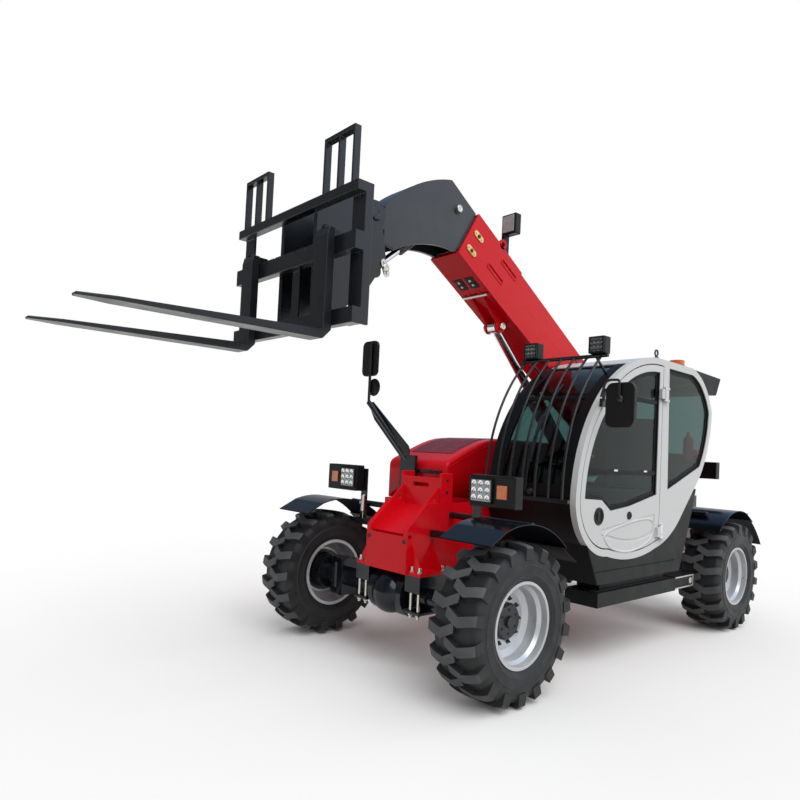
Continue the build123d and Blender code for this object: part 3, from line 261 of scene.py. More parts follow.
def meshRed():
    # screen with dark holes between fine wires
    finish, tree, bsdf = newFinish("meshRed")
    holes = cellsOf(tree, 115, 0.12)
    feed(tree, bsdf, {
        "Base Color": rampOf(tree, holes, (0.3, (0.012, 0.002, 0.003)), (0.46, (0.3, 0.022, 0.035))),
        "Roughness": cloudOf(tree, 12, 4, (0.3, 0.42), (0.7, 0.55)),
        "Normal": bumpOf(tree, holes, 0.8, 0.002),
    })
    return finish


def tintedGlass():
    finish, tree, bsdf = newFinish("tintedGlass")
    feed(tree, bsdf, {
        "Base Color": cloudOf(tree, 1.4, 2, (0.3, (0.18, 0.29, 0.275)), (0.7, (0.2, 0.31, 0.295))),
        "Roughness": cloudOf(tree, 4, 6, (0.4, 0.005), (0.8, 0.03)),
        "Transmission Weight": 1.0, "IOR": 1.24,
    })
    clear = addNode(tree, "BsdfTransparent", {"Color": (0.4, 0.5, 0.47, 1)}).outputs["BSDF"]
    shadow = addNode(tree, "LightPath").outputs["Is Shadow Ray"]
    mix = addNode(tree, "MixShader", {"Fac": shadow, 1: bsdf.outputs["BSDF"], 2: clear})
    feed(tree, tree.nodes["Material Output"], {"Surface": mix.outputs["Shader"]})
    return finish


def lensFinish(name, colour, rib, glow):
    finish, tree, bsdf = newFinish(name)
    dark, light = shades(colour, 0.12)
    ribs = addNode(tree, "TexWave", {"Scale": rib, "Vector": placeOf(tree)}).outputs["Fac"]
    feed(tree, bsdf, {
        "Base Color": cloudOf(tree, 40, 3, (0.3, dark), (0.7, light)), "Roughness": 0.12, "Coat Weight": 0.8,
        "Emission Color": (*colour, 1), "Emission Strength": glow, "Normal": bumpOf(tree, ribs, 0.5, 0.001),
    })
    return finish


def seatVinyl():
    finish, tree, bsdf = newFinish("seatVinyl")
    feed(tree, bsdf, {
        "Base Color": cloudOf(tree, 16, 6, (0.3, (0.09, 0.092, 0.096)), (0.7, (0.13, 0.133, 0.138))),
        "Roughness": 0.55, "Normal": bumpOf(tree, cellsOf(tree, 320, 1.0), 0.5, 0.001),
    })
    return finish


def mirrorFace():
    finish, tree, bsdf = newFinish("mirrorFace")
    feed(tree, bsdf, {
        "Base Color": cloudOf(tree, 6, 4, (0.3, 0.78), (0.7, 0.84)), "Metallic": 1.0,
        "Roughness": cloudOf(tree, 11, 5, (0.3, 0.02), (0.8, 0.07)),
    })
    return finish


finishes |= {"shellWithPaintedShade": shellWithPaintedShade(), "fenderBlack": fenderBlack(), "tyreRubber": tyreRubber(),
             "tyreTread": tyreTread(), "meshRed": meshRed(), "tintedGlass": tintedGlass(),
             "seatVinyl": seatVinyl(), "mirrorFace": mirrorFace()}
lensLook = {"clearLens": ((0.34, 0.355, 0.37), 60, 0.0), "amberLens": ((0.62, 0.13, 0.005), 45, 0.03),
            "tailRed": ((0.55, 0.01, 0.01), 45, 0.05)}
finishes |= {name: lensFinish(name, *look) for name, look in lensLook.items()}
print("all finishes made:", len(finishes))

# finish and edge rounding (metres) of each node that stays in sight
dressing = [
    ("redPaint", 0.004, ["main_frame", "engine_bay", "outer_boom"]),
    ("redPaint", 0.0, ["lift_barrel"]),
    ("satinBlack", 0.003, ["fork_carriage", "coupler", "backrests", "counterweight", "lamp_brackets"]),
    ("satinBlack", 0.0, ["tilt_barrel", "windscreen_guard", "fender_tubes", "mirror_stalks"]),
    ("satinBlack", 0.0, onCorners("hub") + onCorners("knuckle")),
    ("glossBlack", 0.0, ["front_axle", "rear_axle"]),
    ("graphite", 0.004, ["gooseneck", "inner_boom"]),
    ("forkBlack", 0.004, ["fork_left", "fork_right"]),
    ("fenderBlack", 0.002, ["fenders"]),
    # these nodes get painted shade on faces turned into the cab and downward
    ("shellWithPaintedShade", 0.006, ["cab_side_left", "door_panel"]),
    ("shellWithPaintedShade", 0.0, ["cab_roof"]),
    # cab_side_right is all black as painted shade: only its inner face is seen, through the glass
    ("mouldedBlack", 0.005, ["cab_side_right", "cab_floor", "roof_visor", "steering_column"]),
    ("bodyCharcoal", 0.008, ["lower_body"]),
    ("lampBlack", 0.006, ["lamp_boxes", "boom_lamp"]),
    ("clearLens", 0.0, ["lamp_lenses"]),
    ("amberLens", 0.003, ["amber_lenses"]),
    ("tintedGlass", 0.0, ["door_glass", "quarter_glass", "side_glass", "windscreen", "rear_glass"]),
    ("rimSilver", 0.0, onCorners("rim")),
    ("chrome", 0.0, ["lift_rod", "tilt_rod"]),
    ("engineIron", 0.01, ["engine_block"]),
]


def roundEdges(piece, width, segments=2):
    bevel = piece.modifiers.new("edges", "BEVEL")
    bevel.width, bevel.segments = width, segments
    bevel.limit_method, bevel.angle_limit = "ANGLE", math.radians(40)
    piece.modifiers.new("normals", "WEIGHTED_NORMAL").keep_sharp = True


for finishName, rounding, members in dressing:
    for name in members:
        piece = nodes[name]
        piece.data.materials.clear()
        piece.data.materials.append(finishes[finishName])
        if rounding:
            piece.modifiers.new("weld", "WELD").merge_threshold = 0.00005
            flat = piece.modifiers.new("flat", "DECIMATE")
            flat.decimate_type, flat.angle_limit = "DISSOLVE", math.radians(0.5)
            roundEdges(piece, rounding)
print("frame nodes dressed")


# shapes: each adds closed faces to one bmesh
def skin(bm, rings, around=True, closed=False):
    # quads between neighbouring rings of points
    made = []
    for a, b in zip(rings, rings[1:] + (rings[:1] if closed else [])):
        for k in range(len(a) if around else len(a) - 1):
            j = (k + 1) % len(a)
            made.append(bm.faces.new((a[k], a[j], b[j], b[k])))
    return made


def capEnds(bm, rings):
    bm.faces.new(list(reversed(rings[0])))
    bm.faces.new(rings[-1])


def strip(bm, rows):
    # bar whose long edges are the rows
    skin(bm, rows, around=False, closed=True)
    for k in (0, -1):
        bm.faces.new([row[k] for row in rows])


def turned(bm, base, axis, profile, sides=24):
    turn = Vector(axis).normalized().to_track_quat("Z", "Y").to_matrix()
    rings = []
    for along, radius in profile:
        ring = []
        for k in range(sides):
            angle = turnOf(k + 0.5, sides)
            local = Vector((radius * math.cos(angle), radius * math.sin(angle), along))
            ring.append(bm.verts.new(Vector(base) + turn @ local))
        rings.append(ring)
    skin(bm, rings)
    capEnds(bm, rings)


# shares of a bolt's size
boltLook = {"washer": 1.15, "thick": 0.16, "head": 0.92, "straight": 0.5, "high": 0.62, "top": 0.74}


def bolt(bm, place, axis, size):
    # washer, then a hexagon head with its corners turned off
    look = {key: size * share for key, share in boltLook.items()}
    turned(bm, place, axis, [(0, look["washer"]), (look["thick"], look["washer"])], 20)
    place = Vector(place) + Vector(axis).normalized() * look["thick"]
    head = [(0, look["head"]), (look["straight"], look["head"]), (look["high"], look["top"])]
    turned(bm, place, axis, head, 6)


def plate(bm, rim, depth):
    rings = [[bm.verts.new(Vector(p)) for p in rim], [bm.verts.new(Vector(p) + Vector(depth)) for p in rim]]
    skin(bm, rings)
    capEnds(bm, rings)


def cuboid(bm, low, high):
    (x0, y0, z0), (x1, y1, z1) = low, high
    plate(bm, [(x0, y0, z0), (x1, y0, z0), (x1, y1, z0), (x0, y1, z0)], (0, 0, z1 - z0))


def sweep(bm, points, radius, sides=12, closed=False):
    points = [Vector(p) for p in points]
    count = len(points)
    rings, side = [], None
    for k, point in enumerate(points):
        before = points[k - 1] if k or closed else point
        after = points[(k + 1) % count] if k + 1 < count or closed else point
        way = (after - before).normalized()
        if side is None:
            side = way.orthogonal().normalized()
        side = (side - way * side.dot(way)).normalized()
        other = way.cross(side)
        rings.append([bm.verts.new(point + radius * (side * math.cos(turnOf(j, sides))
                                                     + other * math.sin(turnOf(j, sides))))
                      for j in range(sides)])
    skin(bm, rings, closed=closed)
    if not closed:
        capEnds(bm, rings)


def arcPoints(centre, radius, start, end, steps, y):
    angles = [math.radians(start + (end - start) * k / steps) for k in range(steps + 1)]
    return [Vector((centre.x + radius * math.cos(a), y, centre.z + radius * math.sin(a))) for a in angles]


def obroundRim(centre, along, across, half, wide, steps=8):
    rim = []
    for way in (1, -1):
        for k in range(steps + 1):
            a = math.radians(-90 + 180 * k / steps)
            reach = half - wide + wide * math.cos(a)
            rim.append(centre + way * (along * reach + across * wide * math.sin(a)))
    return rim


def linkNew(name, data):
    made = bpy.data.objects.new(name, data)
    bpy.context.scene.collection.objects.link(made)
    return made


def smoothMesh(name, bm, finish):
    bmesh.ops.recalc_face_normals(bm, faces=bm.faces)
    mesh = bpy.data.meshes.new(name)
    bm.to_mesh(mesh)
    bm.free()
    mesh.shade_smooth()
    mesh.materials.append(finishes[finish])
    return mesh


def addPiece(name, bm, finish, body, rounding=0.0, segments=2):
    mesh = smoothMesh(name, bm, finish)
    mesh.set_sharp_from_angle(angle=math.radians(35))
    piece = linkNew(name, mesh)
    if rounding:
        roundEdges(piece, rounding, segments)
    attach(piece, body)
    return piece


# tyre: smooth carcass with two rows of bent lugs
tyreLook = {
    "lugRows": 18, "segments": 108, "lugTop": 0.0265, "lugFoot": 0.0315,
    "carcass": [(0.214, 0.118), (0.222, 0.127), (0.236, 0.137), (0.25, 0.146), (0.258, 0.1505),
                (0.266, 0.1485), (0.282, 0.15), (0.3, 0.15), (0.303, 0.152), (0.309, 0.152), (0.312, 0.149),
                (0.33, 0.148), (0.35, 0.144), (0.366, 0.1375), (0.378, 0.126), (0.385, 0.108), (0.388, 0.03)],
    "bend": [(-0.03, 0.026), (0.052, -0.017), (0.15, 0.008)],
    "lugs": [(-0.03, 0.415, 0.376), (-0.02, 0.4178, 0.376), (0.052, 0.4178, 0.374), (0.1, 0.415, 0.366),
             (0.128, 0.409, 0.352), (0.146, 0.403, 0.34), (0.152, 0.395, 0.334)],
}


def bendAt(y):
    table = tyreLook["bend"]
    for (y0, s0), (y1, s1) in zip(table, table[1:]):
        if y <= y1:
            return s0 + (s1 - s0) * (y - y0) / (y1 - y0)
    return table[-1][1]


def makeTyre(corner, wheelX, hand):
    look = tyreLook
    bm = bmesh.new()
    middle = at(wheelX, hand * wheelPlane, axleHeight)

    def point(radius, y, angle):
        return bm.verts.new(middle + Vector((radius * math.cos(angle), hand * y, radius * math.sin(angle))))

    half, count = look["carcass"], look["segments"]
    profile = half + [(r, -y) for r, y in reversed(half)]
    skin(bm, [[point(r, y, turnOf(k, count)) for k in range(count)] for r, y in profile], closed=True)
    for row in range(2 * look["lugRows"]):
        side = 1 if row % 2 else -1
        sections = []
        for y, top, foot in look["lugs"]:
            turn = math.pi * row / look["lugRows"] + bendAt(y) / top
            topHalf, footHalf = look["lugTop"] / top, look["lugFoot"] / foot
            sections.append([point(foot, side * y, turn - footHalf), point(top, side * y, turn - topHalf),
                             point(top, side * y, turn + topHalf), point(foot, side * y, turn + footHalf)])
        for face in skin(bm, sections)[1::4]:
            face.material_index = 1  # lug tops in a lighter grey
        bm.faces.new(sections[0])
        bm.faces.new(list(reversed(sections[-1])))
    tyre = addPiece(f"tyre_{corner}_lugged", bm, "tyreRubber", f"wheel_{corner}", 0.0018)
    tyre.data.materials.append(finishes["tyreTread"])
    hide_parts(f"tyre_{corner}")


wheelLook = {"bolts": 10, "boltRing": 0.118, "boltSize": 0.0115, "dishFace": 0.008, "hubFace": 0.042,
             "hubBolts": 6, "hubRing": 0.062, "hubBoltSize": 0.007,
             "studEnd": [(0.006, 0.006), (0.016, 0.006), (0.018, 0.0045)],
             "valveRing": 0.172, "valveTurn": 1.1, "valveFace": 0.02,
             "valve": [(0, 0.008), (0.012, 0.008), (0.016, 0.005), (0.035, 0.005),
                       (0.037, 0.0065), (0.05, 0.006)]}


def makeWheelBolts(corner, wheelX, hand):
    look = wheelLook
    bm = bmesh.new()
    out = Vector((0, hand, 0))

    def onFace(ring, angle, face):
        x, z = ring * math.cos(angle), ring * math.sin(angle)
        return at(wheelX + x, hand * (wheelPlane + face), axleHeight + z)

    for k in range(look["bolts"]):
        place = onFace(look["boltRing"], turnOf(k, look["bolts"]), look["dishFace"])
        bolt(bm, place, out, look["boltSize"])
        turned(bm, place, out, look["studEnd"], 10)
    for k in range(look["hubBolts"]):
        place = onFace(look["hubRing"], turnOf(k + 0.5, look["hubBolts"]), look["hubFace"])
        bolt(bm, place, out, look["hubBoltSize"])
    addPiece(f"wheel_bolts_{corner}", bm, "satinBlack", f"wheel_{corner}")
    bm = bmesh.new()
    turned(bm, onFace(look["valveRing"], look["valveTurn"], look["valveFace"]), out, look["valve"], 12)
    addPiece(f"wheel_valve_{corner}", bm, "zinc", f"wheel_{corner}")


for corner, wheelX, hand in corners:
    makeTyre(corner, wheelX, hand)
    makeWheelBolts(corner, wheelX, hand)
print("tyres and wheel bolts made")

# axle clamps: bright studs through the pads, black plates under the housing
clampLook = {"rows": [0.205, 0.268], "legs": 0.092, "rod": 0.01, "nut": 0.015, "nutHigh": 0.575,
             "studLow": 0.312, "studTop": 0.607, "plate": (0.178, 0.295, 0.336, 0.354), "plateHalf": 0.114}


def makeAxleClamps():
    look = clampLook
    near, far, low, high = look["plate"]
    for axle, axleX in (("front", 0.0), ("rear", -wheelBase)):
        studs, plates = bmesh.new(), bmesh.new()
        for hand in (1, -1):
            for row in look["rows"]:
                for leg in (-look["legs"], look["legs"]):
                    foot = at(axleX + leg, hand * row, look["studLow"])
                    sweep(studs, [foot, (foot.x, foot.y, look["studTop"])], look["rod"])
                    bolt(studs, (foot.x, foot.y, look["nutHigh"]), upWay, look["nut"])
                    bolt(studs, (foot.x, foot.y, low), -upWay, look["nut"])
            y0, y1 = sorted((hand * near, hand * far))
            cuboid(plates, at(axleX - look["plateHalf"], y0, low), at(axleX + look["plateHalf"], y1, high))
        addPiece(f"axle_studs_{axle}", studs, "zinc", "chassis")
        addPiece(f"axle_plates_{axle}", plates, "satinBlack", "chassis", 0.004)


# nose: dark bolts on the cheeks, rubber plugs in the front lips
noseLook = {"cheekBolts": [(-0.195, 1.035), (-0.195, 1.108)], "side": 0.183, "boltSize": 0.009,
            "plugs": (0.127, 0.16, 0.745), "plugRadius": 0.013}


def makeNoseFittings():
    look = noseLook
    bm = bmesh.new()
    x, y, z = look["plugs"]
    r = look["plugRadius"]
    for hand in (1, -1):
        for boltX, boltZ in look["cheekBolts"]:
            bolt(bm, at(boltX, hand * look["side"], boltZ), (0, hand, 0), look["boltSize"])
        turned(bm, at(x, hand * y, z), aheadWay,
               [(-0.002, r), (0.003, r), (0.003, r * 0.75), (0.0005, r * 0.7), (0.0005, 0.001)], 20)
    addPiece("nose_bolts", bm, "satinBlack", "chassis")


# pin ends: plain studs, an eight-sided knob and oblong keepers
keeperLook = {"half": 0.052, "wide": 0.021, "thick": 0.008, "boltSize": 0.008}
pinLook = [  # name, body, place, side face, radius, sides, finish, keeper turn
    ("pivot_pin_ends", "chassis", at(-2.85, 0, 1.24), 0.205, 0.034, 28, "zinc", 40),
    ("lift_pin_ends", "boom", onBoom(2.241, 0, -0.25), 0.07, 0.026, 28, "zinc", None),
    ("tilt_foot_ends", "inner", onBoom(3.042, 0, 0.045), 0.112, 0.024, 28, "zinc", None),
    ("tilt_pin_ends", "carriage", onBoom(3.526, 0, -0.52), 0.14, 0.042, 8, "satinBlack", None),
    ("tilt_eye_ends", "carriage", at(0.3602, 0, 2.3153), 0.14, 0.022, 24, "zinc", 66),
]


def keeper(bm, centre, out, turn):
    look = keeperLook
    along = Vector((math.cos(turn), 0, math.sin(turn)))
    across = Vector((-math.sin(turn), 0, math.cos(turn)))
    half, wide, raised = look["half"], look["wide"], out * look["thick"]
    plate(bm, obroundRim(centre, along, across, half, wide), raised)
    for way in (-1, 1):
        bolt(bm, centre + along * way * (half - wide) + raised, out, look["boltSize"])


def makePins():
    for name, body, place, face, r, sides, finish, turn in pinLook:
        bm = bmesh.new()
        for hand in (1, -1):
            out = Vector((0, hand, 0))
            end = Vector((place.x, hand * face, place.z))
            if turn is not None:
                keeper(bm, end, out, math.radians(turn))
                end = end + out * keeperLook["thick"]
            turned(bm, end, out, [(0, r), (0.01, r), (0.013, r - 0.004), (0.013, r * 0.45), (0.01, r * 0.35),
                                  (0.01, 0.001)], sides)
        addPiece(name, bm, finish, body, 0.001)


# boom: pad adjusters and covers, rolled groove rims, lifting tab, fold line, cross bar and lamp lens
boomLook = {"side": 0.127, "ovals": [(2.815, 0.022), (2.815, -0.106)], "ovalHalf": 0.05, "ovalWide": 0.021,
            "ovalThick": 0.006, "ovalBolts": 0.032, "ovalBoltSize": 0.0075,
            "screw": [(0, 0.013), (0.004, 0.013), (0.005, 0.011)],
            "grooves": [(2.4585, 0.062), (2.5485, -0.062)], "grooveHalf": 0.096, "grooveWide": 0.0165,
            "rim": 0.0045, "fold": (0.2, 2.17, -0.0105), "foldSide": 0.1195, "foldRadius": 0.0025,
            "covers": (2.585, 2.685, -0.1995), "coverSides": [(0.014, 0.084), (-0.084, -0.014)],
            "coverThick": 0.004, "coverBolts": 0.03, "coverBoltSize": 0.0085,
            "tab": (2.6, 0.166, 0.036, 0.016), "tabThick": 0.014,
            "bar": (2.52, -0.212, 0.104), "barRadius": 0.01, "lens": (-0.7235, 0.102, 0.198, 2.806, 2.92)}


def makeBoomFittings():
    look = boomLook
    brass, dark, rims, bolts, covers = (bmesh.new() for k in range(5))
    for hand in (1, -1):
        out = Vector((0, hand, 0))
        for u, v in look["ovals"]:
            centre = onBoom(u, hand * look["side"], v)
            raised = out * look["ovalThick"]
            rim = obroundRim(centre, alongBoom, acrossBoom, look["ovalHalf"], look["ovalWide"])
            plate(brass, rim, raised)
            turned(dark, centre + raised, out, look["screw"], 20)
            for way in (-1, 1):
                bolt(bolts, centre + alongBoom * way * look["ovalBolts"] + raised, out, look["ovalBoltSize"])
        for u, v in look["grooves"]:
            centre = onBoom(u, hand * look["side"], v)
            loop = obroundRim(centre, alongBoom, acrossBoom, look["grooveHalf"], look["grooveWide"])
            sweep(rims, loop, look["rim"], 8, True)
        start, end, v = look["fold"]
        sweep(rims, [onBoom(u, hand * look["foldSide"], v) for u in (start, end)], look["foldRadius"], 6)
    u0, u1, v = look["covers"]
    thick, inset = look["coverThick"], look["coverBolts"]
    for y0, y1 in look["coverSides"]:
        rim = [onBoom(u0, y0, v), onBoom(u1, y0, v), onBoom(u1, y1, v), onBoom(u0, y1, v)]
        plate(covers, rim, acrossBoom * -thick)
        for u in (u0 + inset, u1 - inset):
            bolt(bolts, onBoom(u, (y0 + y1) / 2, v - thick), -acrossBoom, look["coverBoltSize"])
    addPiece("pad_covers", covers, "mouldedBlack", "boom", 0.001)
    addPiece("pad_adjusters", brass, "brass", "boom", 0.0015)
    addPiece("pad_screws", dark, "satinBlack", "boom")
    addPiece("pad_bolts", bolts, "zinc", "boom")
    addPiece("groove_rims", rims, "redPaint", "boom")
    tab, bar, lens = (bmesh.new() for k in range(3))
    u, v, outer, hole = look["tab"]
    thick = look["tabThick"]
    turned(tab, onBoom(u, look["side"] - thick, v), leftWay,
           [(0, hole), (0, outer), (thick, outer), (thick, hole), (0, hole)], 32)
    addPiece("lifting_tab", tab, "redPaint", "boom")
    u, v, half = look["bar"]
    r = look["barRadius"]
    turned(bar, onBoom(u, -half, v), leftWay,
           [(0, r - 0.002), (0.002, r), (2 * half - 0.002, r), (2 * half, r - 0.002)], 16)
    addPiece("hose_bar", bar, "zinc", "boom")
    x, y0, y1, z0, z1 = look["lens"]
    cuboid(lens, at(x - 0.001, y0, z0), at(x + 0.006, y1, z1))
    addPiece("boom_lamp_lens", lens, "clearLens", "boom", 0.003)


# fork carriage: low stop knobs on the fork hooks, tube ends on the coupler, placed from the tilt pin
carriageLook = {"pin": onBoom(3.526, 0, -0.52), "knobs": (0.496, 0.36, -0.269), "tubes": (0.11, 0.14, -0.51),
                "knob": [(0, 0.02), (0.01, 0.02), (0.016, 0.014), (0.018, 0.006)],
                "tube": [(0, 0.03), (0.014, 0.03), (0.017, 0.027), (0.017, 0.017), (0.003, 0.016),
                         (0.003, 0.001)]}


def makeCarriageFittings():
    look = carriageLook
    bm = bmesh.new()
    for hand in (1, -1):
        knob, tube = (look["pin"] + Vector((x, hand * y, z)) for x, y, z in (look["knobs"], look["tubes"]))
        turned(bm, knob, upWay, look["knob"], 20)
        turned(bm, tube, (0, hand, 0), look["tube"], 28)
    addPiece("carriage_knobs", bm, "satinBlack", "carriage")


# lamps: LED cups, bezels and tail lenses
lampLook = {"face": -0.022, "inner": 0.528, "side": 0.144, "bottom": 1.02, "height": 0.118, "cells": 3,
            "bezel": 0.01, "bezelDeep": 0.013, "bezelBack": 0.008,
            "roofFace": -0.837, "roofRows": [0.785, 0.29], "roofHalf": 0.042, "roofLow": 1.949,
            "tail": (-3.1, -3.106, 1.185, 1.29),
            "tailRows": {"red": (0.345, 0.44), "white": (0.45, 0.525), "amber": (0.535, 0.635)},
            "tailSlots": {"red": ("tailRed", "amber_lens"), "white": ("clearLens", "lamp_lens"),
                          "amber": ("amberLens", "amber_lens")}}


def ledGrid(bm, low, wide, high, out, count):
    # cups are turned with a sunk middle, then a small bead
    r = 0.44 * min(wide, high) / count
    cup = [(0, r), (0.004, r), (0.004, r * 0.86), (0.0015, r * 0.4), (0.004, r * 0.32), (0.0055, r * 0.12)]
    for row in range(count):
        for column in range(count):
            place = low + Vector((0, wide * (column + 0.5) / count, high * (row + 0.5) / count))
            turned(bm, place, out, cup, 20)


def bezel(bm, low, wide, high, thick, depth):
    x, y, z = low
    left, right, top = y - thick, y + wide + thick, z + high
    bars = [(left, right, z - thick, z), (left, right, top, top + thick),
            (left, y, z, top), (y + wide, right, z, top)]
    for y0, y1, z0, z1 in bars:
        cuboid(bm, (x, y0, z0), (x + depth, y1, z1))


def makeLamps():
    look = lampLook
    cups, roofCups, rims = (bmesh.new() for k in range(3))
    wide, high, half = look["side"], look["height"], look["roofHalf"]
    starts = (look["inner"], -look["inner"] - wide)
    lamps = [(cups, at(look["face"], y, look["bottom"]), wide, high) for y in starts]
    lamps += [(roofCups, at(look["roofFace"], row - half, look["roofLow"]), 2 * half, 2 * half)
              for row in look["roofRows"]]
    for bm, corner, wide, high in lamps:
        ledGrid(bm, corner, wide, high, aheadWay, look["cells"])
        bezel(rims, corner - aheadWay * look["bezelBack"], wide, high, look["bezel"], look["bezelDeep"])
    addPiece("led_cups", cups, "mirrorFace", "chassis")
    addPiece("roof_led_cups", roofCups, "smokeCup", "chassis")
    addPiece("lamp_bezels", rims, "lampBlack", "chassis", 0.002)
    front, back, low, high = look["tail"]
    for colour, (start, end) in look["tailRows"].items():
        bm = bmesh.new()
        for hand in (1, -1):
            y0, y1 = sorted((hand * start, hand * end))
            cuboid(bm, at(back, y0, low), at(front, y1, high))
        finish, slot = look["tailSlots"][colour]
        addPiece(f"tail_lenses_{colour}", bm, finish, "chassis", 0.004)


# small canister with its pipe on the right lamp post
canisterLook = {"foot": (-0.084, -0.488, 0.85),
                "body": [(0, 0.006), (0.006, 0.014), (0.112, 0.014), (0.12, 0.008)],
                "clamp": ((-0.1, -0.512, 0.905), (-0.068, -0.488, 0.925)), "pipe": 0.005,
                "pipePath": [(0, 0.852), (0, 0.8), (0.012, 0.778), (0.03, 0.772)]}


def makeCanister():
    look = canisterLook
    bm = bmesh.new()
    x, y, z = look["foot"]
    turned(bm, at(x, y, z), upWay, look["body"])
    low, high = look["clamp"]
    cuboid(bm, at(*low), at(*high))
    sweep(bm, [at(x, y + aside, height) for aside, height in look["pipePath"]], look["pipe"], 10)
    addPiece("post_canister", bm, "zinc", "chassis", 0.0015)


# pane outlines, read from each pane's own node, and the bands that follow them
def paneOutline(node, way, weld=0.0002, facing=0.98):
    bm = bmesh.new()
    bm.from_mesh(nodes[node].data)
    bmesh.ops.remove_doubles(bm, verts=bm.verts, dist=weld)
    picked = {face for face in bm.faces if face.normal.dot(way) > facing}
    links = {}
    for edge in bm.edges:
        if sum(face in picked for face in edge.link_faces) == 1:
            a, b = edge.verts
            links.setdefault(a, []).append(b)
            links.setdefault(b, []).append(a)
    start = next(iter(links))
    loop, last, here = [start], None, start
    while True:
        ahead = [v for v in links[here] if v is not last]
        if not ahead or ahead[0] is start:
            break
        last, here = here, ahead[0]
        loop.append(here)
    points = [v.co.copy() for v in loop]
    bm.free()
    return points


def insetLoop(points, distance, sharpest=0.5):
    # points lie in a plane of constant y; positive distances go inwards
    area = sum(a.x * b.z - b.x * a.z for a, b in zip(points, points[1:] + points[:1]))
    sign = 1 if area > 0 else -1
    made = []
    for k, here in enumerate(points):
        before, after = points[k - 1], points[(k + 1) % len(points)]
        first = Vector((here.x - before.x, 0, here.z - before.z)).normalized()
        second = Vector((after.x - here.x, 0, after.z - here.z)).normalized()
        n1 = Vector((-first.z, 0, first.x)) * sign
        n2 = Vector((-second.z, 0, second.x)) * sign
        mean = (n1 + n2).normalized()
        made.append(here + mean * distance / max(sharpest, mean.dot(n1)))
    return made


def frameBand(bm, points, inset, width, yLow, yHigh):
    outer, inner = insetLoop(points, inset), insetLoop(points, inset + width)
    walls = ((outer, yLow), (outer, yHigh), (inner, yHigh), (inner, yLow))
    skin(bm, [[bm.verts.new((p.x, y, p.z)) for p in loop] for loop, y in walls], closed=True)


cabLook = {"arcX": -1.549, "arcZ": 1.017, "glassRadius": 0.967,
           "bands": [(-0.001, 0.03, 0.004), (-0.004, 0.012, 0.014)],  # inset, width, proud
           "bandSunk": 0.0005,
           "panes": [("door_glass", "door", 0.831, 1), ("quarter_glass", "chassis", 0.831, 1),
                     ("side_glass", "chassis", 0.205, -1)],
           "screenSunk": 0.001, "sideProud": 0.007, "barProud": 0.006, "screenSpan": (1.5, 67.0),
           "screenSides": [(0.738, 0.812), (0.228, 0.29)],
           "screenBars": [(1.5, 6.0), (41.0, 43.2), (65.0, 67.0)]}
cabCentre = at(cabLook["arcX"], 0, cabLook["arcZ"])


def arcBand(bm, inner, outer, y0, y1, start, end, steps=40):
    # curved bar that follows the cab's front arc
    edges = ((inner, y0), (outer, y0), (outer, y1), (inner, y1))
    arcs = [arcPoints(cabCentre, radius, start, end, steps, y) for radius, y in edges]
    strip(bm, [[bm.verts.new(p) for p in arc] for arc in arcs])


def makeCabSeals():
    look = cabLook
    for node, body, face, out in look["panes"]:
        outline = paneOutline(node, Vector((0, out, 0)))
        bm = bmesh.new()
        for inset, width, proud in look["bands"]:
            frameBand(bm, outline, inset, width, face - look["bandSunk"] * out, face + proud * out)
        addPiece(f"{node}_seal", bm, "sealRubber", body, 0.0015)
    bm = bmesh.new()
    glass, sunk = look["glassRadius"], look["glassRadius"] - look["screenSunk"]
    left, right = look["screenSides"][0][0], look["screenSides"][1][1]
    for y0, y1 in look["screenSides"]:
        arcBand(bm, sunk, glass + look["sideProud"], y0, y1, *look["screenSpan"])
    for start, end in look["screenBars"]:
        arcBand(bm, sunk, glass + look["barProud"], right, left, start, end, 4)
    addPiece("windscreen_frame", bm, "sealRubber", "chassis", 0.002)


# door: bars of the sliding pane, grip cup, lock, bright hinges and the pressed panel's rim
doorLook = {"face": 0.831, "side": 0.85,
            "bars": [(-1.57, -0.7, 1.192, 1.222), (-1.545, -1.265, 1.675, 1.705)],
            "catches": [-1.02, -1.4], "catchHalf": 0.022, "catchSpan": (1.212, 1.224),
            "grip": (-0.829, 0.938), "gripRadius": 0.054, "gripBar": (-0.008, 0.02, 0.034),
            "lock": (-1.194, 0.932), "lockCup": [(0, 0.026), (0.007, 0.026), (0.01, 0.022), (0.01, 0.014),
                                                 (0.006, 0.012), (0.006, 0.001)],
            "hinges": [(-1.603, 0.866, 1.705), (-1.603, 0.866, 0.765)],
            "hinge": [(0, 0.01), (0.004, 0.0145), (0.028, 0.0145), (0.03, 0.0135), (0.034, 0.0135),
                      (0.036, 0.0145), (0.086, 0.0145), (0.09, 0.01)],
            "panel": [(-0.868, 0.842), (-1.53, 0.928), (-1.52, 0.77), (-1.34, 0.712), (-1.141, 0.697),
                      (-0.947, 0.744)], "panelRim": 0.009}


def roundedLoop(points, y, steps=8, share=0.55):
    # quadratic corners between the middles of a ring of points
    made = []
    for k, corner in enumerate(points):
        before, after = points[k - 1], points[(k + 1) % len(points)]
        start, end = ([(1 - share) * a + share * b for a, b in zip(side, corner)] for side in (before, after))
        for j in range(steps + 1):
            t = j / steps
            x, z = ((1 - t) ** 2 * a + 2 * t * (1 - t) * b + t * t * c for a, b, c in zip(start, corner, end))
            made.append(at(x, y, z))
    return made


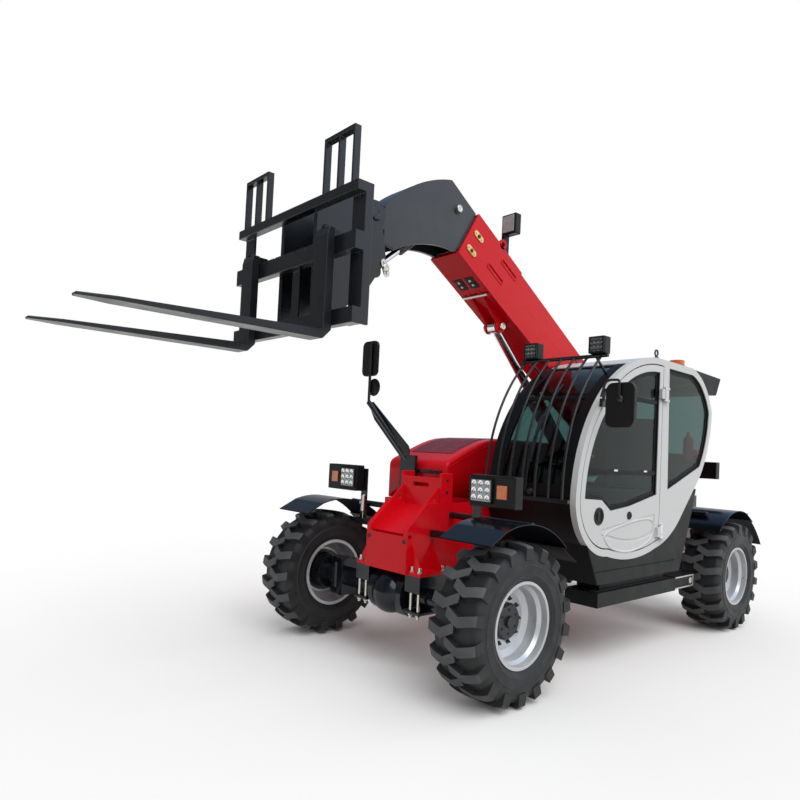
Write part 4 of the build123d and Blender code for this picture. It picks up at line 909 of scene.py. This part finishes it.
def makeDoorFittings():
    look = doorLook
    face, side = look["face"], look["side"]
    bars, bright, grip, rim = (bmesh.new() for k in range(4))
    for x0, x1, z0, z1 in look["bars"]:
        cuboid(bars, at(x0, face - 0.001, z0), at(x1, face + 0.01, z1))
    addPiece("door_pane_bars", bars, "sealRubber", "door", 0.003)
    half, (z0, z1) = look["catchHalf"], look["catchSpan"]
    for x in look["catches"]:
        cuboid(bright, at(x - half, face + 0.009, z0), at(x + half, face + 0.015, z1))
    for place in look["hinges"]:
        turned(bright, at(*place), upWay, look["hinge"])
    addPiece("door_hinges", bright, "chrome", "door", 0.001)
    x, z = look["grip"]
    r = look["gripRadius"]
    cup = [(0, r), (0.007, r), (0.01, r - 0.004), (0.01, r - 0.014), (0.002, r - 0.018), (0.002, 0.001)]
    turned(grip, at(x, side - 0.004, z), leftWay, cup, 40)
    x0, x1, half = look["gripBar"]
    cuboid(grip, at(x + x0, side - 0.003, z - half), at(x + x1, side + 0.005, z + half))
    x, z = look["lock"]
    turned(grip, at(x, side - 0.002, z), leftWay, look["lockCup"], 28)
    addPiece("door_grip", grip, "lampBlack", "door", 0.0015)
    sweep(rim, roundedLoop(look["panel"], side - 0.004), look["panelRim"], 12, True)
    addPiece("door_panel_rim", rim, "shellWhite", "door")


# cab roof and screen: wiper, beacon foot and eye bolts
wiperLook = {"y": 0.5, "blade": (14, 50), "bladeRadius": 0.006, "arm": (3, 32), "armRadius": 0.007,
             "pivotSide": 0.03, "pivot": [(-0.004, 0.022), (0.02, 0.022), (0.028, 0.014)]}
roofLook = {"beacon": (-2.01, 0.75, 1.986),
            "foot": [(-0.004, 0.066), (0.01, 0.066), (0.016, 0.058), (0.02, 0.0545)],
            "eyes": [(-1.53, 0.828, 1.991), (-1.53, 0.212, 1.991)],
            "eyeFoot": [(-0.002, 0.017), (0.008, 0.017), (0.012, 0.01), (0.022, 0.008)],
            "ring": 0.02, "ringHigh": 0.018, "ringWire": 0.006, "ringSteps": 24}


def makeRoofFittings():
    look = wiperLook
    glass, y = cabLook["glassRadius"], look["y"]
    wiper, beacon, eyes = (bmesh.new() for k in range(3))
    sweep(wiper, arcPoints(cabCentre, glass + 0.007, *look["blade"], 24, y), look["bladeRadius"], 8)
    low, high = look["arm"]
    pivot = arcPoints(cabCentre, glass, low, low + 1, 1, y + look["pivotSide"])[0]
    turned(wiper, pivot, aheadWay, look["pivot"], 20)
    arm = arcPoints(cabCentre, glass + 0.024, low, high, 12, y)
    arm.append(arcPoints(cabCentre, glass + 0.009, high + 0.5, high + 1, 1, y)[0])
    sweep(wiper, arm, look["armRadius"], 8)
    addPiece("wiper", wiper, "satinBlack", "chassis")
    look = roofLook
    turned(beacon, at(*look["beacon"]), upWay, look["foot"], 32)
    addPiece("beacon_foot", beacon, "mouldedBlack", "chassis")
    r = look["ring"]
    for place in look["eyes"]:
        foot = at(*place)
        turned(eyes, foot, upWay, look["eyeFoot"], 20)
        turns = [turnOf(k, look["ringSteps"]) for k in range(look["ringSteps"])]
        ring = [foot + Vector((r * math.cos(a), 0, look["ringHigh"] + r + r * math.sin(a))) for a in turns]
        sweep(eyes, ring, look["ringWire"], 8, True)
    addPiece("roof_eyes", eyes, "engineIron", "chassis")


# seat: crowned vinyl cushions with sewn channels, on a pedestal; boxes are from the seat's front at the floor
seatLook = {"place": (-1.35, 0.52, 0.76), "cushion": ((-0.49, -0.215, 0.21), (-0.005, 0.215, 0.305)),
            "back": ((-0.515, -0.205, 0.335), (-0.415, 0.205, 0.84)), "crowns": (0.014, 0.006),
            "backLean": -0.2, "pedestal": [((-0.27, -0.14, 0), (-0.07, 0.14, 0.17)),
                                           ((-0.4, -0.19, 0.17), (-0.05, 0.19, 0.208))],
            "cuts": 9, "pull": 0.05, "channelAt": 0.62, "channelWide": 0.06, "channelDeep": 0.006}


def seatPlace(x, y, z):
    front, middle, floor = seatLook["place"]
    return at(front + x, middle + y, floor + z)


def cushion(name, box, crown, lean=0.0):
    look = seatLook
    low, high = (seatPlace(*corner) for corner in box)
    bm = bmesh.new()
    bmesh.ops.create_cube(bm, size=2)
    bmesh.ops.subdivide_edges(bm, edges=bm.edges, cuts=look["cuts"], use_grid_fill=True)
    middle, half = (low + high) / 2, (high - low) / 2
    for v in bm.verts:
        u, w, t = v.co
        sideways = 1 - look["pull"] * (1 - u * u) * abs(w) ** 3  # sides pull in between the corners
        lengthways = 1 - look["pull"] * (1 - w * w) * abs(u) ** 3
        sewn = look["channelDeep"] * math.exp(-((abs(w) - look["channelAt"]) / look["channelWide"]) ** 2)
        swell = crown * (1 - u ** 4) * (1 - w ** 4) * (1 if t > 0 else 0.15) * (1 if abs(t) > 0.99 else 0.4)
        z = half.z * t + (swell - (sewn if t > 0.99 else 0.0)) * (1 if t > 0 else -1)
        v.co = middle + Vector((half.x * u * lengthways + lean * (z + half.z), half.y * w * sideways, z))
    piece = linkNew(name, smoothMesh(name, bm, "seatVinyl"))
    smooth = piece.modifiers.new("smooth", "SUBSURF")
    smooth.levels = smooth.render_levels = 1
    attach(piece, "chassis")
    return piece


def makeSeat():
    look = seatLook
    base = cushion("seat_cushion", look["cushion"], look["crowns"][0])
    cushion("seat_back", look["back"], look["crowns"][1], look["backLean"])
    bm = bmesh.new()
    for low, high in look["pedestal"]:
        cuboid(bm, seatPlace(*low), seatPlace(*high))
    addPiece("seat_pedestal", bm, "mouldedBlack", "chassis", 0.01)
    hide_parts("seat")


# cab inside: dash pod, side console with joystick, extinguisher by the rear glass
insideLook = {"boxes": [((-0.86, 0.4, 1.1), (-0.76, 0.64, 1.24)), ((-1.6, 0.25, 0.76), (-1.1, 0.31, 1.1))],
              "stickFoot": (-1.18, 0.28, 1.1),
              "stick": [(0, 0.03), (0.02, 0.022), (0.03, 0.009), (0.12, 0.009), (0.13, 0.02), (0.2, 0.024),
                        (0.215, 0.014)],
              "flaskFoot": (-2.225, 0.755, 1.3),
              "flask": [(0, 0.03), (0.008, 0.036), (0.165, 0.036), (0.19, 0.022), (0.2, 0.01), (0.225, 0.01)],
              "holder": ((-2.262, 0.765, 1.36), (-2.225, 0.827, 1.39))}


def makeCabInside():
    look = insideLook
    console, flask = bmesh.new(), bmesh.new()
    for low, high in look["boxes"]:
        cuboid(console, at(*low), at(*high))
    turned(console, at(*look["stickFoot"]), upWay, look["stick"], 20)
    addPiece("cab_console", console, "mouldedBlack", "chassis", 0.008)
    turned(flask, at(*look["flaskFoot"]), upWay, look["flask"], 28)
    low, high = look["holder"]
    cuboid(flask, at(*low), at(*high))
    addPiece("cab_extinguisher", flask, "redFlask", "chassis")


# mirrors: rounded housings with silvered faces, bent arm on the left, broad arm plate on the right
mirrorLook = {"boxes": [(-0.735, -0.7, 0.94, 1.12, 1.47, 1.73), (-0.548, -0.521, -1.12, -0.94, 1.86, 2.14)],
              "round": (-0.546, -0.98, 1.77, 0.07), "corner": 0.045, "glassInset": 0.016, "armRadius": 0.0075,
              "arm": [(-0.712, 0.905, 1.65), (-0.712, 0.925, 1.722), (-0.712, 0.94, 1.742),
                      (-0.712, 0.96, 1.748), (-0.705, 1.01, 1.746), (-0.694, 1.028, 1.738),
                      (-0.69, 1.032, 1.718), (-0.69, 1.034, 1.64)],
              "joint": [(0, 0.022), (0.01, 0.022), (0.018, 0.014), (0.021, 0.006)],
              "plate": [(-1.012, 1.655), (-0.985, 1.655), (-0.556, 1.318), (-0.542, 1.29), (-0.548, 1.25),
                        (-0.64, 1.235), (-0.96, 1.515), (-1.012, 1.6)], "plateX": (-0.552, -0.54)}


def roundedPlate(bm, x0, x1, y0, y1, z0, z1, corner, steps=6):
    rim = []
    for cy, cz, start in ((y1 - corner, z1 - corner, 0), (y0 + corner, z1 - corner, 90),
                          (y0 + corner, z0 + corner, 180), (y1 - corner, z0 + corner, 270)):
        for k in range(steps + 1):
            a = math.radians(start + 90 * k / steps)
            rim.append(at(x0, cy + corner * math.cos(a), cz + corner * math.sin(a)))
    plate(bm, rim, aheadWay * (x1 - x0))


def makeMirrors():
    look = mirrorLook
    shells, faces, arms = (bmesh.new() for k in range(3))
    inset, corner = look["glassInset"], look["corner"]
    for x0, x1, y0, y1, z0, z1 in look["boxes"]:
        roundedPlate(shells, x0, x1, y0, y1, z0, z1, corner)
        roundedPlate(faces, x0 - 0.003, x0 + 0.001, y0 + inset, y1 - inset, z0 + inset, z1 - inset,
                     corner - inset)
    x, y, z, r = look["round"]
    turned(shells, at(x, y, z), aheadWay, [(0, r), (0.01, r), (0.019, r * 0.8), (0.025, r * 0.45)], 36)
    turned(faces, at(x - 0.003, y, z), aheadWay, [(0, r * 0.8), (0.001, r * 0.86), (0.004, r * 0.86)], 36)
    housing = addPiece("mirror_housings", shells, "lampBlack", "chassis", 0.011, 4)
    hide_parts("mirrors")
    addPiece("mirror_faces", faces, "mirrorFace", "chassis", 0.001)
    sweep(arms, [at(*p) for p in look["arm"]], look["armRadius"])
    x, y, z = look["arm"][-1]
    turned(arms, at(x - 0.012, y, z - 0.008), aheadWay, look["joint"])
    x0, x1 = look["plateX"]
    plate(arms, [at(x0, y, z) for y, z in look["plate"]], aheadWay * (x1 - x0))
    addPiece("mirror_arms", arms, "satinBlack", "chassis", 0.002)


# hood: one rounded shell with a sloping nose, mesh panel, side crease and latch bar
hoodLook = {"left": -0.205, "right": -0.82, "wall": 0.012, "rounding": 0.026,
            "profile": [(-0.59, 0.925), (-0.59, 1.15), (-0.591, 1.176), (-0.598, 1.198), (-0.614, 1.216),
                        (-0.64, 1.23), (-0.74, 1.276), (-0.84, 1.319), (-0.93, 1.355), (-1.0, 1.378),
                        (-1.07, 1.394), (-1.15, 1.403), (-1.24, 1.405), (-2.1, 1.405), (-2.128, 1.4),
                        (-2.145, 1.385), (-2.15, 1.36), (-2.15, 0.925)],
            "meshSpan": (6, 13), "meshEnd": (-2.0, 1.405), "meshSides": (-0.735, -0.29),
            "meshLayers": [(0.0, 0.002), (0.022, 0.0035)], "meshSunk": -0.004,
            "creaseSpan": (4, 12), "creaseEnd": (-1.33, 1.36), "creaseDrop": 0.045, "creaseRadius": 0.003,
            "hinges": (-2.168, 0.922), "hingeRows": [-0.35, -0.68], "hingeHalf": 0.024,
            "hinge": [(0, 0.012), (0.003, 0.014), (0.045, 0.014), (0.048, 0.012)],
            "latch": ((-0.592, -0.52, 1.128), (-0.574, -0.25, 1.15))}


def makeHood():
    look = hoodLook
    profile = look["profile"]
    outer, screen, trim, latch = (bmesh.new() for k in range(4))
    sides = [[outer.verts.new(at(x, y, z)) for x, z in profile] for y in (look["right"], look["left"])]
    skin(outer, sides, around=False)
    capEnds(outer, sides)
    shell = addPiece("hood_shell", outer, "redPaint", "hood", look["rounding"], 5)
    thick = shell.modifiers.new("wall", "SOLIDIFY")
    thick.thickness, thick.offset = look["wall"], -1
    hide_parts("hood")
    first, last = look["meshSpan"]
    path = profile[first:last] + [look["meshEnd"]]
    y0, y1 = look["meshSides"]
    for inset, lift in look["meshLayers"]:
        left, right, sunk = y0 + inset, y1 - inset, look["meshSunk"]
        edges = ((sunk, left), (sunk, right), (lift, right), (lift, left))
        strip(screen, [[screen.verts.new(at(x, y, z + h)) for x, z in path] for h, y in edges])
    mesh = addPiece("hood_mesh", screen, "meshRed", "hood")
    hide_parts("hood_grille")
    first, last = look["creaseSpan"]
    crease = [(x, z - look["creaseDrop"]) for x, z in profile[first:last]] + [look["creaseEnd"]]
    for y in (look["left"] + 0.0005, look["right"] - 0.0005):
        sweep(trim, [at(x, y, z) for x, z in crease], look["creaseRadius"], 8)
    x, z = look["hinges"]
    half = look["hingeHalf"]
    for row in look["hingeRows"]:
        turned(trim, at(x, row - half, z), leftWay, look["hinge"], 20)
        cuboid(trim, at(x, row - half, z + 0.006), at(x + 0.022, row + half, z + 0.014))
    addPiece("hood_trim", trim, "redPaint", "hood")
    low, high = look["latch"]
    cuboid(latch, at(*low), at(*high))
    addPiece("hood_latch", latch, "satinBlack", "hood", 0.003)


# lower body: rear step box with a bright edge, tread strips on the step
stepLook = {"box": (-2.18, -1.885, 0.7, 0.845, 0.384, 0.474), "trim": 0.01, "inset": (0.004, 0.002),
            "proud": (0.001, 0.005), "plugAt": 0.05, "plug": [(0, 0.024), (0.006, 0.024), (0.008, 0.02),
                                                              (0.008, 0.012), (0.003, 0.011), (0.003, 0.001)],
            "treads": 6, "treadFrom": 0.655, "treadPitch": 0.03, "treadWide": 0.012,
            "treadX": (-1.836, -0.87), "treadZ": (0.47, 0.474)}


def makeStepFittings():
    look = stepLook
    x0, x1, y0, y1, z0, z1 = look["box"]
    box, trim, treads = (bmesh.new() for k in range(3))
    cuboid(box, at(x0, y0, z0), at(x1, y1, z1))
    addPiece("step_box", box, "bodyCharcoal", "chassis", 0.006)
    t = look["trim"]
    face, proud = (y1 + step for step in look["proud"])
    left, right = x0 + look["inset"][0], x1 - look["inset"][0]
    low, high = z0 + look["inset"][1], z1 - look["inset"][1]
    cuboid(trim, at(left, face, low), at(right, proud, low + t))
    cuboid(trim, at(left, face, high - t), at(right, proud, high))
    cuboid(trim, at(left, face, low + t), at(left + t, proud, high - t))
    turned(trim, at(x0 + look["plugAt"], face - 0.002, (z0 + z1) / 2), leftWay, look["plug"], 28)
    addPiece("step_box_trim", trim, "zinc", "chassis", 0.001)
    (x0, x1), (z0, z1) = look["treadX"], look["treadZ"]
    for k in range(look["treads"]):
        y = look["treadFrom"] + look["treadPitch"] * k
        cuboid(treads, at(x0, y, z0), at(x1, y + look["treadWide"], z1))
    addPiece("step_treads", treads, "satinBlack", "chassis", 0.001)


# fenders: bolts over the tubes, caps on the tube ends, rubber tails
fenderLook = {"outer": 0.514, "boltAngle": 27.0, "boltRows": [0.655, 0.755], "boltSize": 0.01,
              "tubeBehind": 0.242, "tubeCentre": 0.534, "tubeEnd": 0.79,
              "cap": [(-0.001, 0.0215), (0.008, 0.0215), (0.012, 0.017)],
              "frontTail": (41.0, 58.0), "rearTail": (30.0, 66.0), "tailSteps": 8, "tailRadius": 0.501,
              "tailFlare": 0.045, "tailThick": 0.005, "tailSides": (0.605, 0.94)}


def bentStrip(bm, path, thick, y0, y1):
    # rubber strip bent along (x, z) points, its wall on the inner side
    rows = []
    for y, drop in ((y0, 0), (y1, 0), (y1, thick), (y0, thick)):
        row = []
        for k, (x, z) in enumerate(path):
            before, after = path[max(0, k - 1)], path[min(len(path) - 1, k + 1)]
            way = Vector((after[1] - before[1], 0, before[0] - after[0])).normalized()
            if way.z > 0:
                way = -way
            row.append(bm.verts.new(at(x, y, z) + way * drop))
        rows.append(row)
    strip(bm, rows)


def makeFenderFittings():
    look = fenderLook
    bolts, tails = bmesh.new(), bmesh.new()
    angle = math.radians(look["boltAngle"])
    rise = math.sqrt(look["tubeCentre"] ** 2 - look["tubeBehind"] ** 2)
    steps = look["tailSteps"]
    for corner, wheelX, hand in corners:
        way = -1 if wheelX == 0 else 1
        out = Vector((way * math.sin(angle), 0, math.cos(angle)))
        for y in look["boltRows"]:
            bolt(bolts, at(wheelX, hand * y, axleHeight) + out * look["outer"], out, look["boltSize"])
        end = at(wheelX + way * look["tubeBehind"], hand * look["tubeEnd"], axleHeight + rise)
        turned(bolts, end, (0, hand, 0), look["cap"])
        start, stop = look["frontTail"] if wheelX == 0 else look["rearTail"]
        path = []
        for k in range(steps + 1):
            turn = math.radians(start + (stop - start) * k / steps)
            radius = look["tailRadius"] + look["tailFlare"] * (k / steps) ** 2
            path.append((wheelX - radius * math.sin(turn), axleHeight + radius * math.cos(turn)))
        bentStrip(tails, path, look["tailThick"], *sorted(hand * y for y in look["tailSides"]))
    addPiece("fender_bolts", bolts, "satinBlack", "chassis")
    addPiece("fender_tails", tails, "sealRubber", "chassis", 0.001)


makeAxleClamps()
makeNoseFittings()
makePins()
makeBoomFittings()
makeCarriageFittings()
print("frame, boom and carriage fittings made")
makeLamps()
makeCanister()
makeCabSeals()
makeDoorFittings()
makeRoofFittings()
makeSeat()
makeCabInside()
makeMirrors()
makeHood()
makeStepFittings()
makeFenderFittings()
print("cab, hood, lamp and fender fittings made")

# camera from the photograph's fitted view, in degrees, metres and pixels
camLook = {"place": (2.736, 2.941, 1.27), "yaw": -131.53, "pitch": 1.82, "roll": 2.73, "focal": 647.47,
           "middle": (390.57, 430.87), "frame": 800.0, "sensor": 36.0}


def makeCamera():
    look = camLook
    yaw, pitch, roll = (math.radians(look[k]) for k in ("yaw", "pitch", "roll"))
    forward = Vector((math.cos(yaw) * math.cos(pitch), math.sin(yaw) * math.cos(pitch), math.sin(pitch)))
    right = forward.cross(upWay).normalized()
    up = right.cross(forward)
    right, up = (right * math.cos(roll) + up * math.sin(roll), up * math.cos(roll) - right * math.sin(roll))
    camera = bpy.data.cameras.new("studioCamera")
    camera.sensor_width = look["sensor"]
    camera.lens = look["sensor"] * look["focal"] / look["frame"]
    camera.shift_x = (look["frame"] / 2 - look["middle"][0]) / look["frame"]
    camera.shift_y = (look["middle"][1] - look["frame"] / 2) / look["frame"]
    holder = linkNew("studioCamera", camera)
    facing = Matrix((right, up, -forward)).transposed().to_4x4()
    holder.matrix_world = Matrix.Translation(at(*look["place"])) @ facing
    bpy.context.scene.camera = holder


# studio: pale floor, soft sky and three wide lamps
studioLook = {
    "floorHalf": 90.0, "floorSeen": (0.975, 0.975, 0.975), "floorThrown": (0.42, 0.42, 0.42),
    "skyStrength": 0.55,
    "dome": [(0.49, (1.0, 1.0, 1.0)), (0.58, (1.0, 1.0, 1.0)), (0.8, (0.36, 0.56, 0.92))],  # blue overhead
    "brightSide": (-0.68, 0.73, 0.0), "darkSide": 0.03,
    "lamps": [("keyLamp", (1.6, 4.6, 6.0), 50, 1.5), ("fillLamp", (4.0, -4.0, 2.5), 70, 0.14),
              ("rearLamp", (-6.0, 3.0, 5.5), 60, 0.45)],
}


def makeFloor():
    look = studioLook
    bm = bmesh.new()
    bmesh.ops.create_grid(bm, x_segments=8, y_segments=8, size=look["floorHalf"])
    mesh = bpy.data.meshes.new("studioFloor")
    bm.to_mesh(mesh)
    bm.free()
    finish, tree, bsdf = newFinish("paleFloor")
    bounced = addNode(tree, "LightPath").outputs["Is Diffuse Ray"]
    feed(tree, bsdf, {"Base Color": mixOf(tree, bounced, look["floorSeen"], look["floorThrown"]),
                      "Roughness": 0.9, "Specular IOR Level": 0.0})
    mesh.materials.append(finish)
    floor = linkNew("studioFloor", mesh)


def makeSky():
    look = studioLook
    world = bpy.data.worlds.new("studioSky")
    bpy.context.scene.world = world
    world.use_nodes = True
    tree = world.node_tree
    white = (1, 1, 1, 1)
    sky = tree.nodes["Background"]
    feed(tree, sky, {"Color": white, "Strength": look["skyStrength"]})
    way = addNode(tree, "TexCoord").outputs["Generated"]
    toward = dotOf(tree, way, look["brightSide"])
    shade = addNode(tree, "MapRange", {"From Min": -1.0, "To Min": look["darkSide"], "Value": toward})
    gloss = addNode(tree, "Background", {"Color": rampOf(tree, upShare(tree, way), *look["dome"]),
                                         "Strength": shade.outputs["Result"]})
    plain = addNode(tree, "Background", {"Color": white, "Strength": 1.0})
    path = addNode(tree, "LightPath")
    seen = sky.outputs["Background"]
    for ray, view in (("Is Glossy Ray", gloss), ("Is Transmission Ray", plain), ("Is Camera Ray", plain)):
        mix = addNode(tree, "MixShader", {"Fac": path.outputs[ray], 1: seen, 2: view.outputs["Background"]})
        seen = mix.outputs["Shader"]
    feed(tree, tree.nodes["World Output"], {"Surface": seen})


def makeStudioLamps():
    for name, place, spread, power in studioLook["lamps"]:
        lamp = bpy.data.lights.new(name, "SUN")  # as wide as a soft box, even over the whole floor
        lamp.angle, lamp.energy = math.radians(spread), power
        holder = linkNew(name, lamp)
        holder.location = place
        holder.rotation_euler = (-Vector(place)).to_track_quat("-Z", "Y").to_euler()


makeCamera()
makeFloor()
makeSky()
makeStudioLamps()
bpy.context.scene.view_settings.view_transform = "Standard"
print("camera and studio set")
